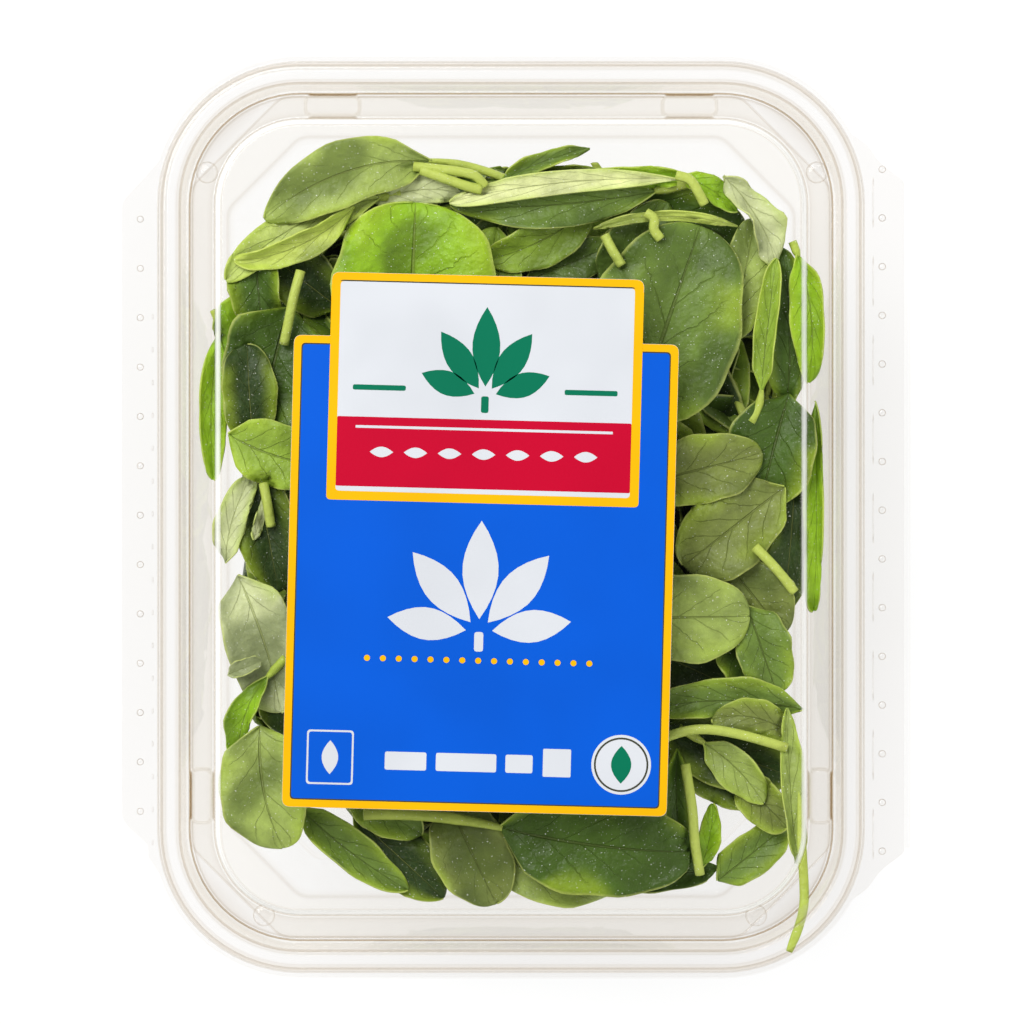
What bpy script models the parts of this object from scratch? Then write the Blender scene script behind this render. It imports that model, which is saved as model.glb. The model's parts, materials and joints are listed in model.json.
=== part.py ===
"""A clear hinged clamshell of baby spinach, lying on its base with the lid shut.

The tray and the lid are thermoformed sheet of even thickness. The tray's raised rim nests under the
lid's raised ring, and a fold along the +X edge joins the two. A label lies on the lid's panel, and
the leaves fill the tray as one heap. +Z is up, +Y runs along the pack's length, and the origin is
under the middle of the whole pack, on the plane that it rests on.
"""

import math
import random

import bmesh
import bpy
from mathutils import Euler, Matrix, Vector, noise

MM = 0.001

# Sheet and levels, measured up from the plane that the pack rests on
SHEET = 0.5 * MM
GAP = 0.3 * MM
FLANGE_TOP = 68.0 * MM
LEDGE_TOP = 62.5 * MM
RIM_TOP = FLANGE_TOP + 5.0 * MM
LID_FLANGE_TOP = FLANGE_TOP + GAP + SHEET
LID_RING_TOP = FLANGE_TOP + 7.6 * MM
CHANNEL_TOP = FLANGE_TOP - 3.7 * MM
PANEL_TOP = FLANGE_TOP + 3.5 * MM
LUG_HEIGHT = 4.0 * MM

# How far the walls lean in over their height, and how wide the round edges above them are
RIM_LEAN = 0.5 * MM
RIM_INNER_LEAN = 1.0 * MM
RIM_ROUNDING = 0.8 * MM
RING_LEAN = 0.6 * MM
RING_ROUNDING = 1.0 * MM
PLUG_LEAN = 0.9 * MM
PLUG_ROUNDING = 0.9 * MM
PLUG_CLEARANCE = 0.2 * MM
PANEL_LEAN = 0.6 * MM
PANEL_ROUNDING = 0.8 * MM

# Half sizes of the closed pack's outlines, from the middle of the raised ring
RING_HALF_WIDTH = 93.6 * MM
RING_HALF_LENGTH = 120.65 * MM
RING_RADIUS = 37.8 * MM
RING_BAND = 7.5 * MM
PANEL_INSET = 14.8 * MM
EDGE_HALF_LENGTH = 122.3 * MM
EDGE_MARGIN = 1.65 * MM
LID_EDGE_MARGIN = 1.2 * MM
LATCH_REACH = 103.3 * MM
TAB_REACH = 103.5 * MM
HINGE_REACH = 105.8 * MM
HINGE_HALF_LENGTH = 87.5 * MM
HINGE_RADIUS = SHEET + GAP / 2
HINGE_AXIS_X = HINGE_REACH - HINGE_RADIUS
HINGE_AXIS_Z = FLANGE_TOP + GAP / 2
STRIP_END = HINGE_AXIS_X - HINGE_RADIUS - GAP
RING_X = (TAB_REACH - HINGE_REACH) / 2

# The flat edges outside the ring: where they leave the round corners, and the corner points of their
# +Y halves (the hinge strip) or of their whole length (the latch strips), from the +Y end down
HINGE_STRIP_START = 100.5 * MM
HINGE_FLARE = [
    (94.5 * MM, 98.4 * MM),
    (97.1 * MM, 94.5 * MM),
    (99.5 * MM, 92.3 * MM),
]
HINGE_STRIP_CORNER = 88.9 * MM
TRAY_LATCH_EDGE = [
    (-99.5 * MM, EDGE_HALF_LENGTH),
    (-102.3 * MM, 119.6 * MM),
    (-102.3 * MM, 109.5 * MM),
    (-95.3 * MM, 104.0 * MM),
    (-95.3 * MM, 96.6 * MM),
    (-LATCH_REACH, 88.9 * MM),
    (-LATCH_REACH, -80.4 * MM),
    (-96.0 * MM, -86.8 * MM),
    (-96.0 * MM, -101.1 * MM),
    (-TAB_REACH, -108.5 * MM),
    (-TAB_REACH, -117.7 * MM),
    (-100.8 * MM, -EDGE_HALF_LENGTH),
]
LID_LATCH_START = 91.0 * MM
LID_LATCH_EDGE = [
    (-102.9 * MM, 83.4 * MM),
    (-102.9 * MM, -79.5 * MM),
]

# The tray's body, an oblong with cut-off corners that narrows towards its base
BODY_HALF_WIDTH = 84.7 * MM
BODY_HALF_LENGTH = 111.4 * MM
BODY_CUT = 23.8 * MM
BODY_CUT_SOFTNESS = 6.0 * MM
BODY_DRAFT = 5.4 * MM
FOOT_WIDTH = 9.0 * MM
FOOT_HEIGHT = 1.5 * MM
BASE_ROUNDING = 2.5 * MM
BASE_KNEE = 0.3
SOLE_INSET = 1.0 * MM
SOLE_DROP = 0.15 * MM

# The lid's lugs: the top side has one at each +-X, the long sides one each near their -Y end
END_LUG = (39.5 * MM, 55.2 * MM)
SIDE_LUG = (-81.8 * MM, -66.2 * MM)
LUG_DRAFT = 0.6 * MM

# The label: an oblong with a narrower crest on its +Y end, set a little askew
LABEL_THICKNESS = 0.2 * MM
LABEL_HALF_WIDTH = 50.9 * MM
LABEL_HALF_LENGTH = 62.4 * MM
LABEL_CREST_HALF_WIDTH = 41.3 * MM
LABEL_CREST_RISE = 16.9 * MM
LABEL_CORNER = 2.0 * MM
LABEL_CENTRE = Vector((-8.1 * MM, -15.5 * MM))
LABEL_TURN = math.radians(-1.5)

# The heap of leaves: a core, with leaves fused on its top and round its sides
LEAF_LENGTH = 54.0 * MM
LEAF_WIDTH = 33.0 * MM
LEAF_THICKNESS = 0.9 * MM
LEAF_CUPPING = 4.0 * MM
LEAF_WAVE = 2.5 * MM
LEAF_ROWS = 5
HEAP_CLEARANCE = 1.0 * MM
HEAP_TOP = 62.4 * MM
HEAP_FLOOR = SHEET + FOOT_HEIGHT + GAP
CORE_INSET = 9.0 * MM
CORE_TOP = 51.0 * MM
CORE_RIPPLE = 4.0 * MM
CORE_RIPPLE_RATE = 45

# The core's outlines from its base up, each a distance in from the core's widest outline and a height
CORE_OUTLINES = [
    (6 * MM, HEAP_FLOOR + 0.5 * MM),
    (0, HEAP_FLOOR + 6 * MM),
    (0, 20 * MM),
    (0, 36 * MM),
    (6 * MM, CORE_TOP - 4 * MM),
    (22 * MM, CORE_TOP),
    (45 * MM, CORE_TOP - 1 * MM),
]
TOP_LEAF_ROWS = 7
TOP_LEAF_COLUMNS = 5
SIDE_LEAVES = 24
LEAF_SEED = 8

CORNER_SEGMENTS = 10
WELD = 0.001 * MM


def rounded_corner(half_width, half_length, radius):
    """Return a round corner's points in the +X +Y quarter, from the +X side to the +Y side."""
    turns = [math.pi / 2 * i / CORNER_SEGMENTS for i in range(CORNER_SEGMENTS + 1)]
    centre = Vector((half_width - radius, half_length - radius))
    return [
        centre + radius * Vector((math.cos(turn), math.sin(turn)))
        for turn in turns
    ]


def cut_corner(half_width, half_length, cut, softness):
    """Return a corner cut off at 45 degrees with softened ends, with as many points as a round one."""
    bend = softness * math.tan(math.pi / 8)
    near = Vector((half_width - softness, half_length - cut - bend))
    far = Vector((half_width - cut - bend, half_length - softness))
    steps = (CORNER_SEGMENTS - 2) // 2
    turns = [math.pi / 4 * i / steps for i in range(steps + 1)]
    first = [near + softness * Vector((math.cos(turn), math.sin(turn))) for turn in turns]
    last = [far + softness * Vector((math.sin(turn), math.cos(turn))) for turn in reversed(turns)]
    return first + [(first[-1] + last[0]) / 2] + last


def closed_outline(corner, end_stations=(), side_stations=()):
    """Mirror a corner into a closed anticlockwise outline, with extra points on its +Y end and sides."""
    half_width = corner[0].x
    half_length = corner[-1].y
    end = [Vector((x, half_length)) for x in sorted(end_stations, reverse=True)]
    left = [Vector((-half_width, y)) for y in sorted(side_stations, reverse=True)]
    right = [Vector((half_width, y)) for y in sorted(side_stations)]
    top_left = [Vector((-p.x, p.y)) for p in reversed(corner)]
    bottom_left = [Vector((-p.x, -p.y)) for p in corner]
    bottom_right = [Vector((p.x, -p.y)) for p in reversed(corner)]
    return corner + end + top_left + left + bottom_left + bottom_right + right


def ring_corner(inset):
    """Return a corner of the raised ring's outline, moved inwards by inset with its arc's centre kept."""
    return rounded_corner(RING_HALF_WIDTH - inset, RING_HALF_LENGTH - inset, RING_RADIUS - inset)


def tray_corner(inset, softness=BODY_CUT_SOFTNESS):
    """Return a corner of the tray's body, moved inwards by inset and softened by softness."""
    cut = BODY_CUT - inset * (2 - math.sqrt(2))
    return cut_corner(BODY_HALF_WIDTH - inset, BODY_HALF_LENGTH - inset, cut, softness)


def hinge_edge(reach):
    """Return the +X edge from its -Y end to its +Y end: a strip that flares out of the round corners."""
    upper = [Vector((reach, HINGE_STRIP_CORNER))] + [Vector(point) for point in reversed(HINGE_FLARE)]
    lower = [Vector((p.x, -p.y)) for p in reversed(upper)]
    return lower + upper


def tray_edge():
    """Return the tray flange's outer edge: square tabs at the -X corners, strips on both long sides."""
    corner = rounded_corner(
        RING_HALF_WIDTH + EDGE_MARGIN, EDGE_HALF_LENGTH, RING_RADIUS + EDGE_MARGIN
    )
    kept = [p for p in corner if p.y > HINGE_STRIP_START]
    lower = [Vector((p.x, -p.y)) for p in reversed(kept)]
    return lower + hinge_edge(STRIP_END) + kept + [Vector(p) for p in TRAY_LATCH_EDGE]


def lid_edge():
    """Return the lid flange's outer edge: it follows the ring, with one strip on each long side."""
    corner = rounded_corner(
        RING_HALF_WIDTH + LID_EDGE_MARGIN, RING_HALF_LENGTH + LID_EDGE_MARGIN, RING_RADIUS + LID_EDGE_MARGIN
    )
    right = [p for p in corner if p.y > HINGE_STRIP_START]
    left = [Vector((-p.x, p.y)) for p in reversed(corner) if p.y > LID_LATCH_START]
    lower_right = [Vector((p.x, -p.y)) for p in reversed(right)]
    lower_left = [Vector((p.x, -p.y)) for p in reversed(left)]
    latch = [Vector(p) for p in LID_LATCH_EDGE]
    return lower_right + hinge_edge(STRIP_END) + right + left + latch + lower_left


def join_outlines(mesh, outlines):
    """Add the outlines' points to a mesh, join each one to the next with faces, and return the points."""
    loops = [[mesh.verts.new(point) for point in outline] for outline in outlines]
    count = len(loops[0])
    for outer, inner in zip(loops, loops[1:]):
        for i in range(count):
            following = (i + 1) % count
            mesh.faces.new((outer[i], outer[following], inner[following], inner[i]))
    return loops


def formed_sheet(name, edge, edge_z, outlines):
    """Make an open sheet, a flat flange outside its outlines and a flat floor inside, and thicken it.

    Points of an outline that fall on one another, as at a sharp corner, become one.
    """
    mesh = bmesh.new()
    loops = join_outlines(mesh, outlines)
    mesh.faces.new(loops[-1])
    rim = [mesh.verts.new((point.x, point.y, edge_z)) for point in edge]
    borders = [mesh.edges.new((rim[i - 1], rim[i])) for i in range(len(rim))]
    borders += [mesh.edges.get((loops[0][i - 1], loops[0][i])) for i in range(len(loops[0]))]
    bmesh.ops.triangle_fill(mesh, use_beauty=True, edges=borders)
    bmesh.ops.remove_doubles(mesh, verts=mesh.verts, dist=WELD)
    bmesh.ops.recalc_face_normals(mesh, faces=mesh.faces)
    floor = max(mesh.faces, key=lambda face: face.calc_area())
    if floor.normal.z < 0:
        bmesh.ops.reverse_faces(mesh, faces=mesh.faces)
    sheet = as_object(name, mesh)
    thicken = sheet.modifiers.new("sheet", "SOLIDIFY")
    thicken.thickness = SHEET
    thicken.offset = -1
    thicken.use_even_offset = True
    return sheet


def as_object(name, mesh):
    """Turn a bmesh into an object of the pack."""
    data = bpy.data.meshes.new(name)
    mesh.to_mesh(data)
    mesh.free()
    return bpy.data.objects.new(name, data)


def at_height(outline, z):
    """Lift a flat outline to one height."""
    return [Vector((point.x, point.y, z)) for point in outline]


def make_tray():
    """Make the tray: flange, raised rim, ledge, drafted walls with cut-off corners, and a foot.

    The foot's sole has eight plain corners, so the pack stands on a few points far apart.
    """
    outer_wall = SHEET + GAP
    outer_edge = outer_wall + RIM_LEAN
    inner_wall = RING_BAND - PLUG_CLEARANCE
    inner_edge = inner_wall - RIM_INNER_LEAN
    ring_bands = [
        (outer_wall, FLANGE_TOP),
        (outer_edge, RIM_TOP - RIM_ROUNDING),
        (outer_edge + RIM_ROUNDING, RIM_TOP),
        (inner_edge - RIM_ROUNDING, RIM_TOP),
        (inner_edge, RIM_TOP - RIM_ROUNDING),
        (inner_wall, LEDGE_TOP),
    ]
    soft = BODY_CUT_SOFTNESS
    foot = BODY_DRAFT + BASE_ROUNDING
    foot_end = foot + FOOT_WIDTH
    body_bands = [
        (0, LEDGE_TOP, soft),
        (BODY_DRAFT, SHEET + BASE_ROUNDING, soft),
        (BODY_DRAFT + BASE_KNEE * BASE_ROUNDING, SHEET + BASE_KNEE * BASE_ROUNDING, soft),
        (foot, SHEET + SOLE_DROP, soft),
        (foot + SOLE_INSET, SHEET, 0),
        (foot_end - SOLE_INSET, SHEET, 0),
        (foot_end, SHEET + SOLE_DROP, soft),
        (foot_end + FOOT_HEIGHT / 2, SHEET + FOOT_HEIGHT, soft),
    ]
    outlines = [at_height(closed_outline(ring_corner(inset)), z) for inset, z in ring_bands]
    for inset, z, softness in body_bands:
        outlines.append(at_height(closed_outline(tray_corner(inset, softness)), z))
    return formed_sheet("tub", tray_edge(), FLANGE_TOP, outlines)


def lug_stations(span):
    """Return the two pairs of points where a lug's sloping ends begin and finish."""
    low, high = span
    return [low, low + LUG_DRAFT, high - LUG_DRAFT, high]


def on_lug(point):
    """Tell whether a point on the channel's floor is on top of a lug."""
    slack = LUG_DRAFT / 2
    on_end = point.y > 0 and END_LUG[0] + slack < abs(point.x) < END_LUG[1] - slack
    on_side = SIDE_LUG[0] + slack < point.y < SIDE_LUG[1] - slack
    return on_end or on_side


def make_lid():
    """Make the lid: flange, raised ring, plug wall, channel with lugs, and raised panel."""
    end_stations = [sign * x for sign in (-1, 1) for x in lug_stations(END_LUG)]
    side_stations = lug_stations(SIDE_LUG)

    def ring_outline(inset, z, lugs=False):
        flat = closed_outline(ring_corner(inset), end_stations, side_stations)
        rise = LUG_HEIGHT if lugs else 0
        return [Vector((p.x, p.y, z + (rise if on_lug(p) else 0))) for p in flat]

    outlines = [
        ring_outline(0, LID_FLANGE_TOP),
        ring_outline(RING_LEAN, LID_RING_TOP - RING_ROUNDING),
        ring_outline(RING_LEAN + RING_ROUNDING, LID_RING_TOP),
        ring_outline(RING_BAND - PLUG_ROUNDING, LID_RING_TOP),
        ring_outline(RING_BAND, LID_RING_TOP - PLUG_ROUNDING),
        ring_outline(RING_BAND + PLUG_LEAN, CHANNEL_TOP, lugs=True),
        ring_outline(PANEL_INSET - PANEL_LEAN, CHANNEL_TOP, lugs=True),
        ring_outline(PANEL_INSET, PANEL_TOP - PANEL_ROUNDING),
        ring_outline(PANEL_INSET + PANEL_ROUNDING, PANEL_TOP),
    ]
    return formed_sheet("lid", lid_edge(), LID_FLANGE_TOP, outlines)


def make_hinge_fold():
    """Make the fold that joins tray and lid: a thin round bead along the hinge's axis."""
    bpy.ops.mesh.primitive_cylinder_add(
        vertices=16, radius=HINGE_RADIUS, depth=2 * HINGE_HALF_LENGTH, rotation=(math.pi / 2, 0, 0)
    )
    fold = bpy.context.object
    fold.name = "hinge_fold"
    fold.data.shade_smooth()
    fold.data.set_sharp_from_angle(angle=math.radians(40))
    for collection in list(fold.users_collection):
        collection.objects.unlink(fold)
    return fold


def label_outline():
    """Return the label's outline round its own centre, with its outer corners rounded."""
    corners = [
        (LABEL_HALF_WIDTH, -LABEL_HALF_LENGTH, True),
        (LABEL_HALF_WIDTH, LABEL_HALF_LENGTH, True),
        (LABEL_CREST_HALF_WIDTH, LABEL_HALF_LENGTH, False),
        (LABEL_CREST_HALF_WIDTH, LABEL_HALF_LENGTH + LABEL_CREST_RISE, True),
    ]
    half = []
    for x, y, outer in corners:
        if not outer:
            half.append(Vector((x, y)))
            continue
        side = 1 if y > 0 else -1
        centre = Vector((x - LABEL_CORNER, y - side * LABEL_CORNER))
        turns = [math.pi / 2 * i / 4 for i in range(5)]
        arc = [centre + LABEL_CORNER * Vector((math.cos(t), side * math.sin(t))) for t in turns]
        half += arc if side > 0 else arc[::-1]
    return half + [Vector((-p.x, p.y)) for p in reversed(half)]


def make_label():
    """Make the label as a thin flat plate."""
    flat = bpy.data.curves.new("label", "CURVE")
    flat.dimensions = "2D"
    flat.fill_mode = "BOTH"
    flat.extrude = LABEL_THICKNESS / 2
    spline = flat.splines.new("POLY")
    points = label_outline()
    spline.points.add(len(points) - 1)
    for place, point in zip(spline.points, points):
        place.co = (point.x, point.y, 0, 1)
    spline.use_cyclic_u = True
    return bpy.data.objects.new("label", flat)


def tray_inset(z):
    """Return how far the tray's inner wall lies inside its mouth at one height."""
    return BODY_DRAFT * (LEDGE_TOP - z) / (LEDGE_TOP - SHEET - BASE_ROUNDING)


def inside_tray(point):
    """Tell whether a point keeps the heap's clearance from the tray's walls, its floor and the lid."""
    if not HEAP_FLOOR < point.z < HEAP_TOP:
        return False
    inset = tray_inset(point.z) + HEAP_CLEARANCE
    rounding = max(0, HEAP_FLOOR + 2 * BASE_ROUNDING - point.z)
    half_width = BODY_HALF_WIDTH - inset - rounding
    half_length = BODY_HALF_LENGTH - inset - rounding
    cut = BODY_CUT - inset * (2 - math.sqrt(2))
    return (
        abs(point.x) < half_width
        and abs(point.y) < half_length
        and abs(point.x) + abs(point.y) < half_width + half_length - cut
    )


def make_core():
    """Make the heap's core: an uneven block with soft edges that fills most of the tray."""
    outlines = []
    for inset, z in CORE_OUTLINES:
        flat = closed_outline(tray_corner(0))[::2]
        ring = []
        for point in flat:
            narrowing = CORE_INSET + inset + tray_inset(z)
            scale = Vector((1 - narrowing / BODY_HALF_WIDTH, 1 - narrowing / BODY_HALF_LENGTH))
            bump = noise.noise(Vector((point.x, point.y, z)) * CORE_RIPPLE_RATE)
            ripple = 1 + CORE_RIPPLE / BODY_HALF_WIDTH * bump
            ring.append(Vector((point.x * scale.x * ripple, point.y * scale.y * ripple, z)))
        outlines.append(ring)
    mesh = bmesh.new()
    loops = join_outlines(mesh, outlines)
    mesh.faces.new(loops[0])
    mesh.faces.new(loops[-1])
    bmesh.ops.recalc_face_normals(mesh, faces=mesh.faces)
    return as_object("spinach", mesh)


def leaf_surface(length, width, cupping, wave, phase):
    """Return the rows of a wavy leaf's middle surface, from its stem end to its tip."""
    rows = []
    for i in range(LEAF_ROWS + 1):
        along = i / LEAF_ROWS
        half = width / 2 * math.sin(math.pi * (0.06 + 0.88 * along) ** 0.8) ** 0.75
        row = []
        for across in (-1, 0, 1):
            curl = cupping * across * across + wave * across * math.sin(2.2 * math.pi * along + phase)
            arch = -2 * cupping * (along - 0.5) ** 2
            row.append(Vector(((along - 0.5) * length, across * half, curl + arch)))
        rows.append(row)
    return rows


def leaf_mesh(rows):
    """Close a leaf's surface into a thin solid whose two faces have the same triangles."""
    mesh = bmesh.new()
    lift = Vector((0, 0, LEAF_THICKNESS / 2))
    upper = [[mesh.verts.new(point + lift) for point in row] for row in rows]
    lower = [[mesh.verts.new(point - lift) for point in row] for row in rows]
    for i in range(len(rows) - 1):
        for j in range(2):
            for side in (upper, lower):
                a, b, c, d = side[i][j], side[i + 1][j], side[i + 1][j + 1], side[i][j + 1]
                mesh.faces.new((a, b, c))
                mesh.faces.new((a, c, d))
        for j in (0, 2):
            mesh.faces.new((upper[i][j], upper[i + 1][j], lower[i + 1][j], lower[i][j]))
    for i in (0, -1):
        for j in range(2):
            mesh.faces.new((upper[i][j], upper[i][j + 1], lower[i][j + 1], lower[i][j]))
    bmesh.ops.recalc_face_normals(mesh, faces=mesh.faces)
    return mesh


def random_leaf(draw, placement):
    """Draw one leaf of the heap's size range and put it at a placement, or return None if it won't fit."""
    size = draw.uniform(0.75, 1.1)
    rows = leaf_surface(
        LEAF_LENGTH * size,
        LEAF_WIDTH * size * draw.uniform(0.85, 1.1),
        LEAF_CUPPING * draw.uniform(-1, 1),
        LEAF_WAVE * draw.uniform(0.4, 1),
        draw.uniform(0, math.tau),
    )
    placed = [[placement @ point for point in row] for row in rows]
    margin = Vector((0, 0, LEAF_THICKNESS))
    corners = [point for row in placed for point in row]
    if not all(inside_tray(point + margin) and inside_tray(point - margin) for point in corners):
        return None
    mesh = leaf_mesh(rows)
    bmesh.ops.transform(mesh, matrix=placement, verts=mesh.verts)
    return mesh


def fitted_leaf(draw, propose, tries=40):
    """Draw placements until a leaf fits inside the tray, and return its mesh."""
    for _ in range(tries):
        mesh = random_leaf(draw, propose())
        if mesh:
            return mesh
    return None


def top_placement(draw, row, column):
    """Propose a placement for a leaf that lies on the heap's top, near its place in a grid."""
    spread_x = 2 * (BODY_HALF_WIDTH - 24 * MM) / (TOP_LEAF_COLUMNS - 1)
    spread_y = 2 * (BODY_HALF_LENGTH - 26 * MM) / (TOP_LEAF_ROWS - 1)
    x = (column - (TOP_LEAF_COLUMNS - 1) / 2 + draw.uniform(-0.3, 0.3)) * spread_x
    y = (row - (TOP_LEAF_ROWS - 1) / 2 + draw.uniform(-0.3, 0.3)) * spread_y
    z = draw.uniform(CORE_TOP - 1 * MM, CORE_TOP + 4 * MM)
    tilt = Euler((draw.uniform(-0.3, 0.3), draw.uniform(-0.3, 0.3), draw.uniform(0, math.tau)))
    return Matrix.Translation((x, y, z)) @ tilt.to_matrix().to_4x4()


def side_placement(draw, number):
    """Propose a placement for a leaf that stands between the core and the nearest wall of the tray."""
    around = math.tau * (number + draw.uniform(-0.3, 0.3)) / SIDE_LEAVES
    z = draw.uniform(22 * MM, 38 * MM)
    reach = CORE_INSET + tray_inset(z) - 4 * MM
    half_width = BODY_HALF_WIDTH - reach
    half_length = BODY_HALF_LENGTH - reach
    cut_reach = half_width + half_length - BODY_CUT + reach * (2 - math.sqrt(2))
    outwards = Vector((math.cos(around), math.sin(around)))
    side = abs(outwards.x) / half_width
    end = abs(outwards.y) / half_length
    cut = (abs(outwards.x) + abs(outwards.y)) / cut_reach
    place = outwards / max(side, end, cut)
    if cut > max(side, end):
        facing = math.atan2(math.copysign(1, outwards.y), math.copysign(1, outwards.x))
    else:
        facing = 0 if side > end else math.pi / 2
    turn = Euler((math.pi / 2 + draw.uniform(-0.2, 0.2), 0, facing + math.pi / 2))
    spin = Matrix.Rotation(draw.uniform(0, math.tau), 4, "Z")
    return Matrix.Translation((place.x, place.y, z)) @ turn.to_matrix().to_4x4() @ spin


def make_leaves(collection):
    """Fill a collection with the loose leaves on the heap's top and round its sides."""
    draw = random.Random(LEAF_SEED)
    meshes = []
    for row in range(TOP_LEAF_ROWS):
        for column in range(TOP_LEAF_COLUMNS):
            meshes.append(fitted_leaf(draw, lambda: top_placement(draw, row, column)))
    for number in range(SIDE_LEAVES):
        meshes.append(fitted_leaf(draw, lambda: side_placement(draw, number)))
    for number, mesh in enumerate(m for m in meshes if m):
        collection.objects.link(as_object(f"leaf_{number}", mesh))


def connected_parts(mesh):
    """Return a mesh's faces grouped into connected parts."""
    waiting = set(mesh.faces)
    parts = []
    while waiting:
        part = []
        edge_of_search = [waiting.pop()]
        while edge_of_search:
            face = edge_of_search.pop()
            part.append(face)
            for edge in face.edges:
                for neighbour in edge.link_faces:
                    if neighbour in waiting:
                        waiting.remove(neighbour)
                        edge_of_search.append(neighbour)
        parts.append(part)
    return parts


def enclosed_volume(part):
    """Return the volume that a part's faces enclose; a sealed hollow's is negative."""
    volume = 0
    for face in part:
        points = [vertex.co for vertex in face.verts]
        for i in range(1, len(points) - 1):
            volume += points[0].dot(points[i].cross(points[i + 1])) / 6
    return volume


def fuse_leaves(core, collection):
    """Join the loose leaves to the core, and keep the heap's one solid without its hollows and scraps."""
    join = core.modifiers.new("fuse", "BOOLEAN")
    join.operation = "UNION"
    join.operand_type = "COLLECTION"
    join.collection = collection
    join.solver = "EXACT"
    evaluated = core.evaluated_get(bpy.context.evaluated_depsgraph_get())
    fused = bpy.data.meshes.new_from_object(evaluated)
    core.modifiers.remove(join)
    mesh = bmesh.new()
    mesh.from_mesh(fused)
    parts = connected_parts(mesh)
    heap = max(parts, key=enclosed_volume)
    scraps = [face for part in parts if part is not heap for face in part]
    bmesh.ops.delete(mesh, geom=scraps, context="FACES")
    mesh.to_mesh(core.data)
    mesh.free()
    bpy.data.meshes.remove(fused)
    for leaf in list(collection.objects):
        bpy.data.objects.remove(leaf)
    bpy.data.collections.remove(collection)


def make_heap(pack):
    """Make the heap of leaves as one solid."""
    core = make_core()
    pack.objects.link(core)
    leaves = bpy.data.collections.new("loose_leaves")
    bpy.context.scene.collection.children.link(leaves)
    make_leaves(leaves)
    fuse_leaves(core, leaves)
    return core


def make_material(name, colour, roughness, alpha=1.0):
    """Make a plain Principled material."""
    material = bpy.data.materials.new(name)
    material.use_nodes = True
    shader = material.node_tree.nodes["Principled BSDF"]
    shader.inputs["Base Color"].default_value = (*colour, 1)
    shader.inputs["Roughness"].default_value = roughness
    shader.inputs["Metallic"].default_value = 0
    shader.inputs["Alpha"].default_value = alpha
    material.diffuse_color = (*colour, alpha)
    return material


def place(obj, location, material, parent=None):
    """Put an object at a world position, under its parent if it has one, and give it its material."""
    obj.parent = parent
    obj.location = Vector(location) - (parent.location if parent else Vector())
    obj.data.materials.clear()
    obj.data.materials.append(material)


def main():
    """Build the pack in an empty scene."""
    for obj in list(bpy.data.objects):
        bpy.data.objects.remove(obj)
    pack = bpy.data.collections.new("spinach_clamshell")
    bpy.context.scene.collection.children.link(pack)

    hinge = bpy.data.objects.new("lid_hinge", None)
    hinge.location = (RING_X + HINGE_AXIS_X, 0, HINGE_AXIS_Z)
    tub = make_tray()
    fold = make_hinge_fold()
    lid = make_lid()
    label = make_label()
    for obj in (hinge, tub, fold, lid, label):
        pack.objects.link(obj)
    heap = make_heap(pack)

    label_z = PANEL_TOP + GAP + LABEL_THICKNESS / 2
    place(tub, (RING_X, 0, 0), make_material("tub_plastic", (0.86, 0.88, 0.86), 0.06, 0.3))
    place(fold, hinge.location, make_material("fold_plastic", (0.80, 0.80, 0.76), 0.08, 0.4))
    place(heap, (RING_X, 0, 0), make_material("spinach_leaf", (0.085, 0.18, 0.035), 0.5))
    place(lid, (RING_X, 0, 0), make_material("lid_plastic", (0.86, 0.88, 0.86), 0.05, 0.3), hinge)
    place(
        label,
        (RING_X + LABEL_CENTRE.x, LABEL_CENTRE.y, label_z),
        make_material("label_paper", (0.01, 0.12, 0.80), 0.35),
        hinge,
    )
    label.rotation_euler.z = LABEL_TURN


main()
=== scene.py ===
"""Looks for a clear hinged clamshell of baby spinach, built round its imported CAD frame.

The pack lies on its base with the lid shut and the label up. The tray and the lid become thin formed
sheets with rounded edges, the label gets its print, and the heap becomes loose leaves on a dark bed.
Lengths in the classes are in millimetres, measured from the middle of the lid's raised ring (x, y)
and from the plane that the pack rests on (z).
"""

import json
import logging
import math
import random
from collections.abc import Callable, Iterable, Sequence
from dataclasses import dataclass, field
from enum import Enum
from typing import Any

import bmesh
import bpy
import numpy as np
from mathutils import Euler, Matrix, Vector

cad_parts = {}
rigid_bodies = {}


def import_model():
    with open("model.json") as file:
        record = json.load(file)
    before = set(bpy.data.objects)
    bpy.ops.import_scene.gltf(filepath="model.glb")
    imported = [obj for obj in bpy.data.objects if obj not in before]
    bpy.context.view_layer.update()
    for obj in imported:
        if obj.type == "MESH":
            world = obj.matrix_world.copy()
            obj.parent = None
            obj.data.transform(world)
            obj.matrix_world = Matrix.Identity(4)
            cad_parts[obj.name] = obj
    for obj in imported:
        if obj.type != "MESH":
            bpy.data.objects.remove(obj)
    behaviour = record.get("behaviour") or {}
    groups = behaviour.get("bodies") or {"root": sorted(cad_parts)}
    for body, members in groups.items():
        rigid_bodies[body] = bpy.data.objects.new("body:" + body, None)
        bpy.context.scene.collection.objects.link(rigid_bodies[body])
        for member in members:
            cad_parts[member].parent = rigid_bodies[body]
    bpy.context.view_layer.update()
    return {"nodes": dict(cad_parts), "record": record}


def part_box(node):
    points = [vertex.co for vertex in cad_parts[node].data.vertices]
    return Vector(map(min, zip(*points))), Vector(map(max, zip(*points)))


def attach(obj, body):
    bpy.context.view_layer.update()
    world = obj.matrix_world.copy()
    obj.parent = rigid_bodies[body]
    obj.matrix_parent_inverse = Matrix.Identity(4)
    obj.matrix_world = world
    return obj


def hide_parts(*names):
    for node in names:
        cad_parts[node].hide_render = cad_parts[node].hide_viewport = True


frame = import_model()

LOG = logging.getLogger("clamshell")
MM = 0.001
BEND_FADE = 1.6
EASED_CORNER = 1.4

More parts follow.
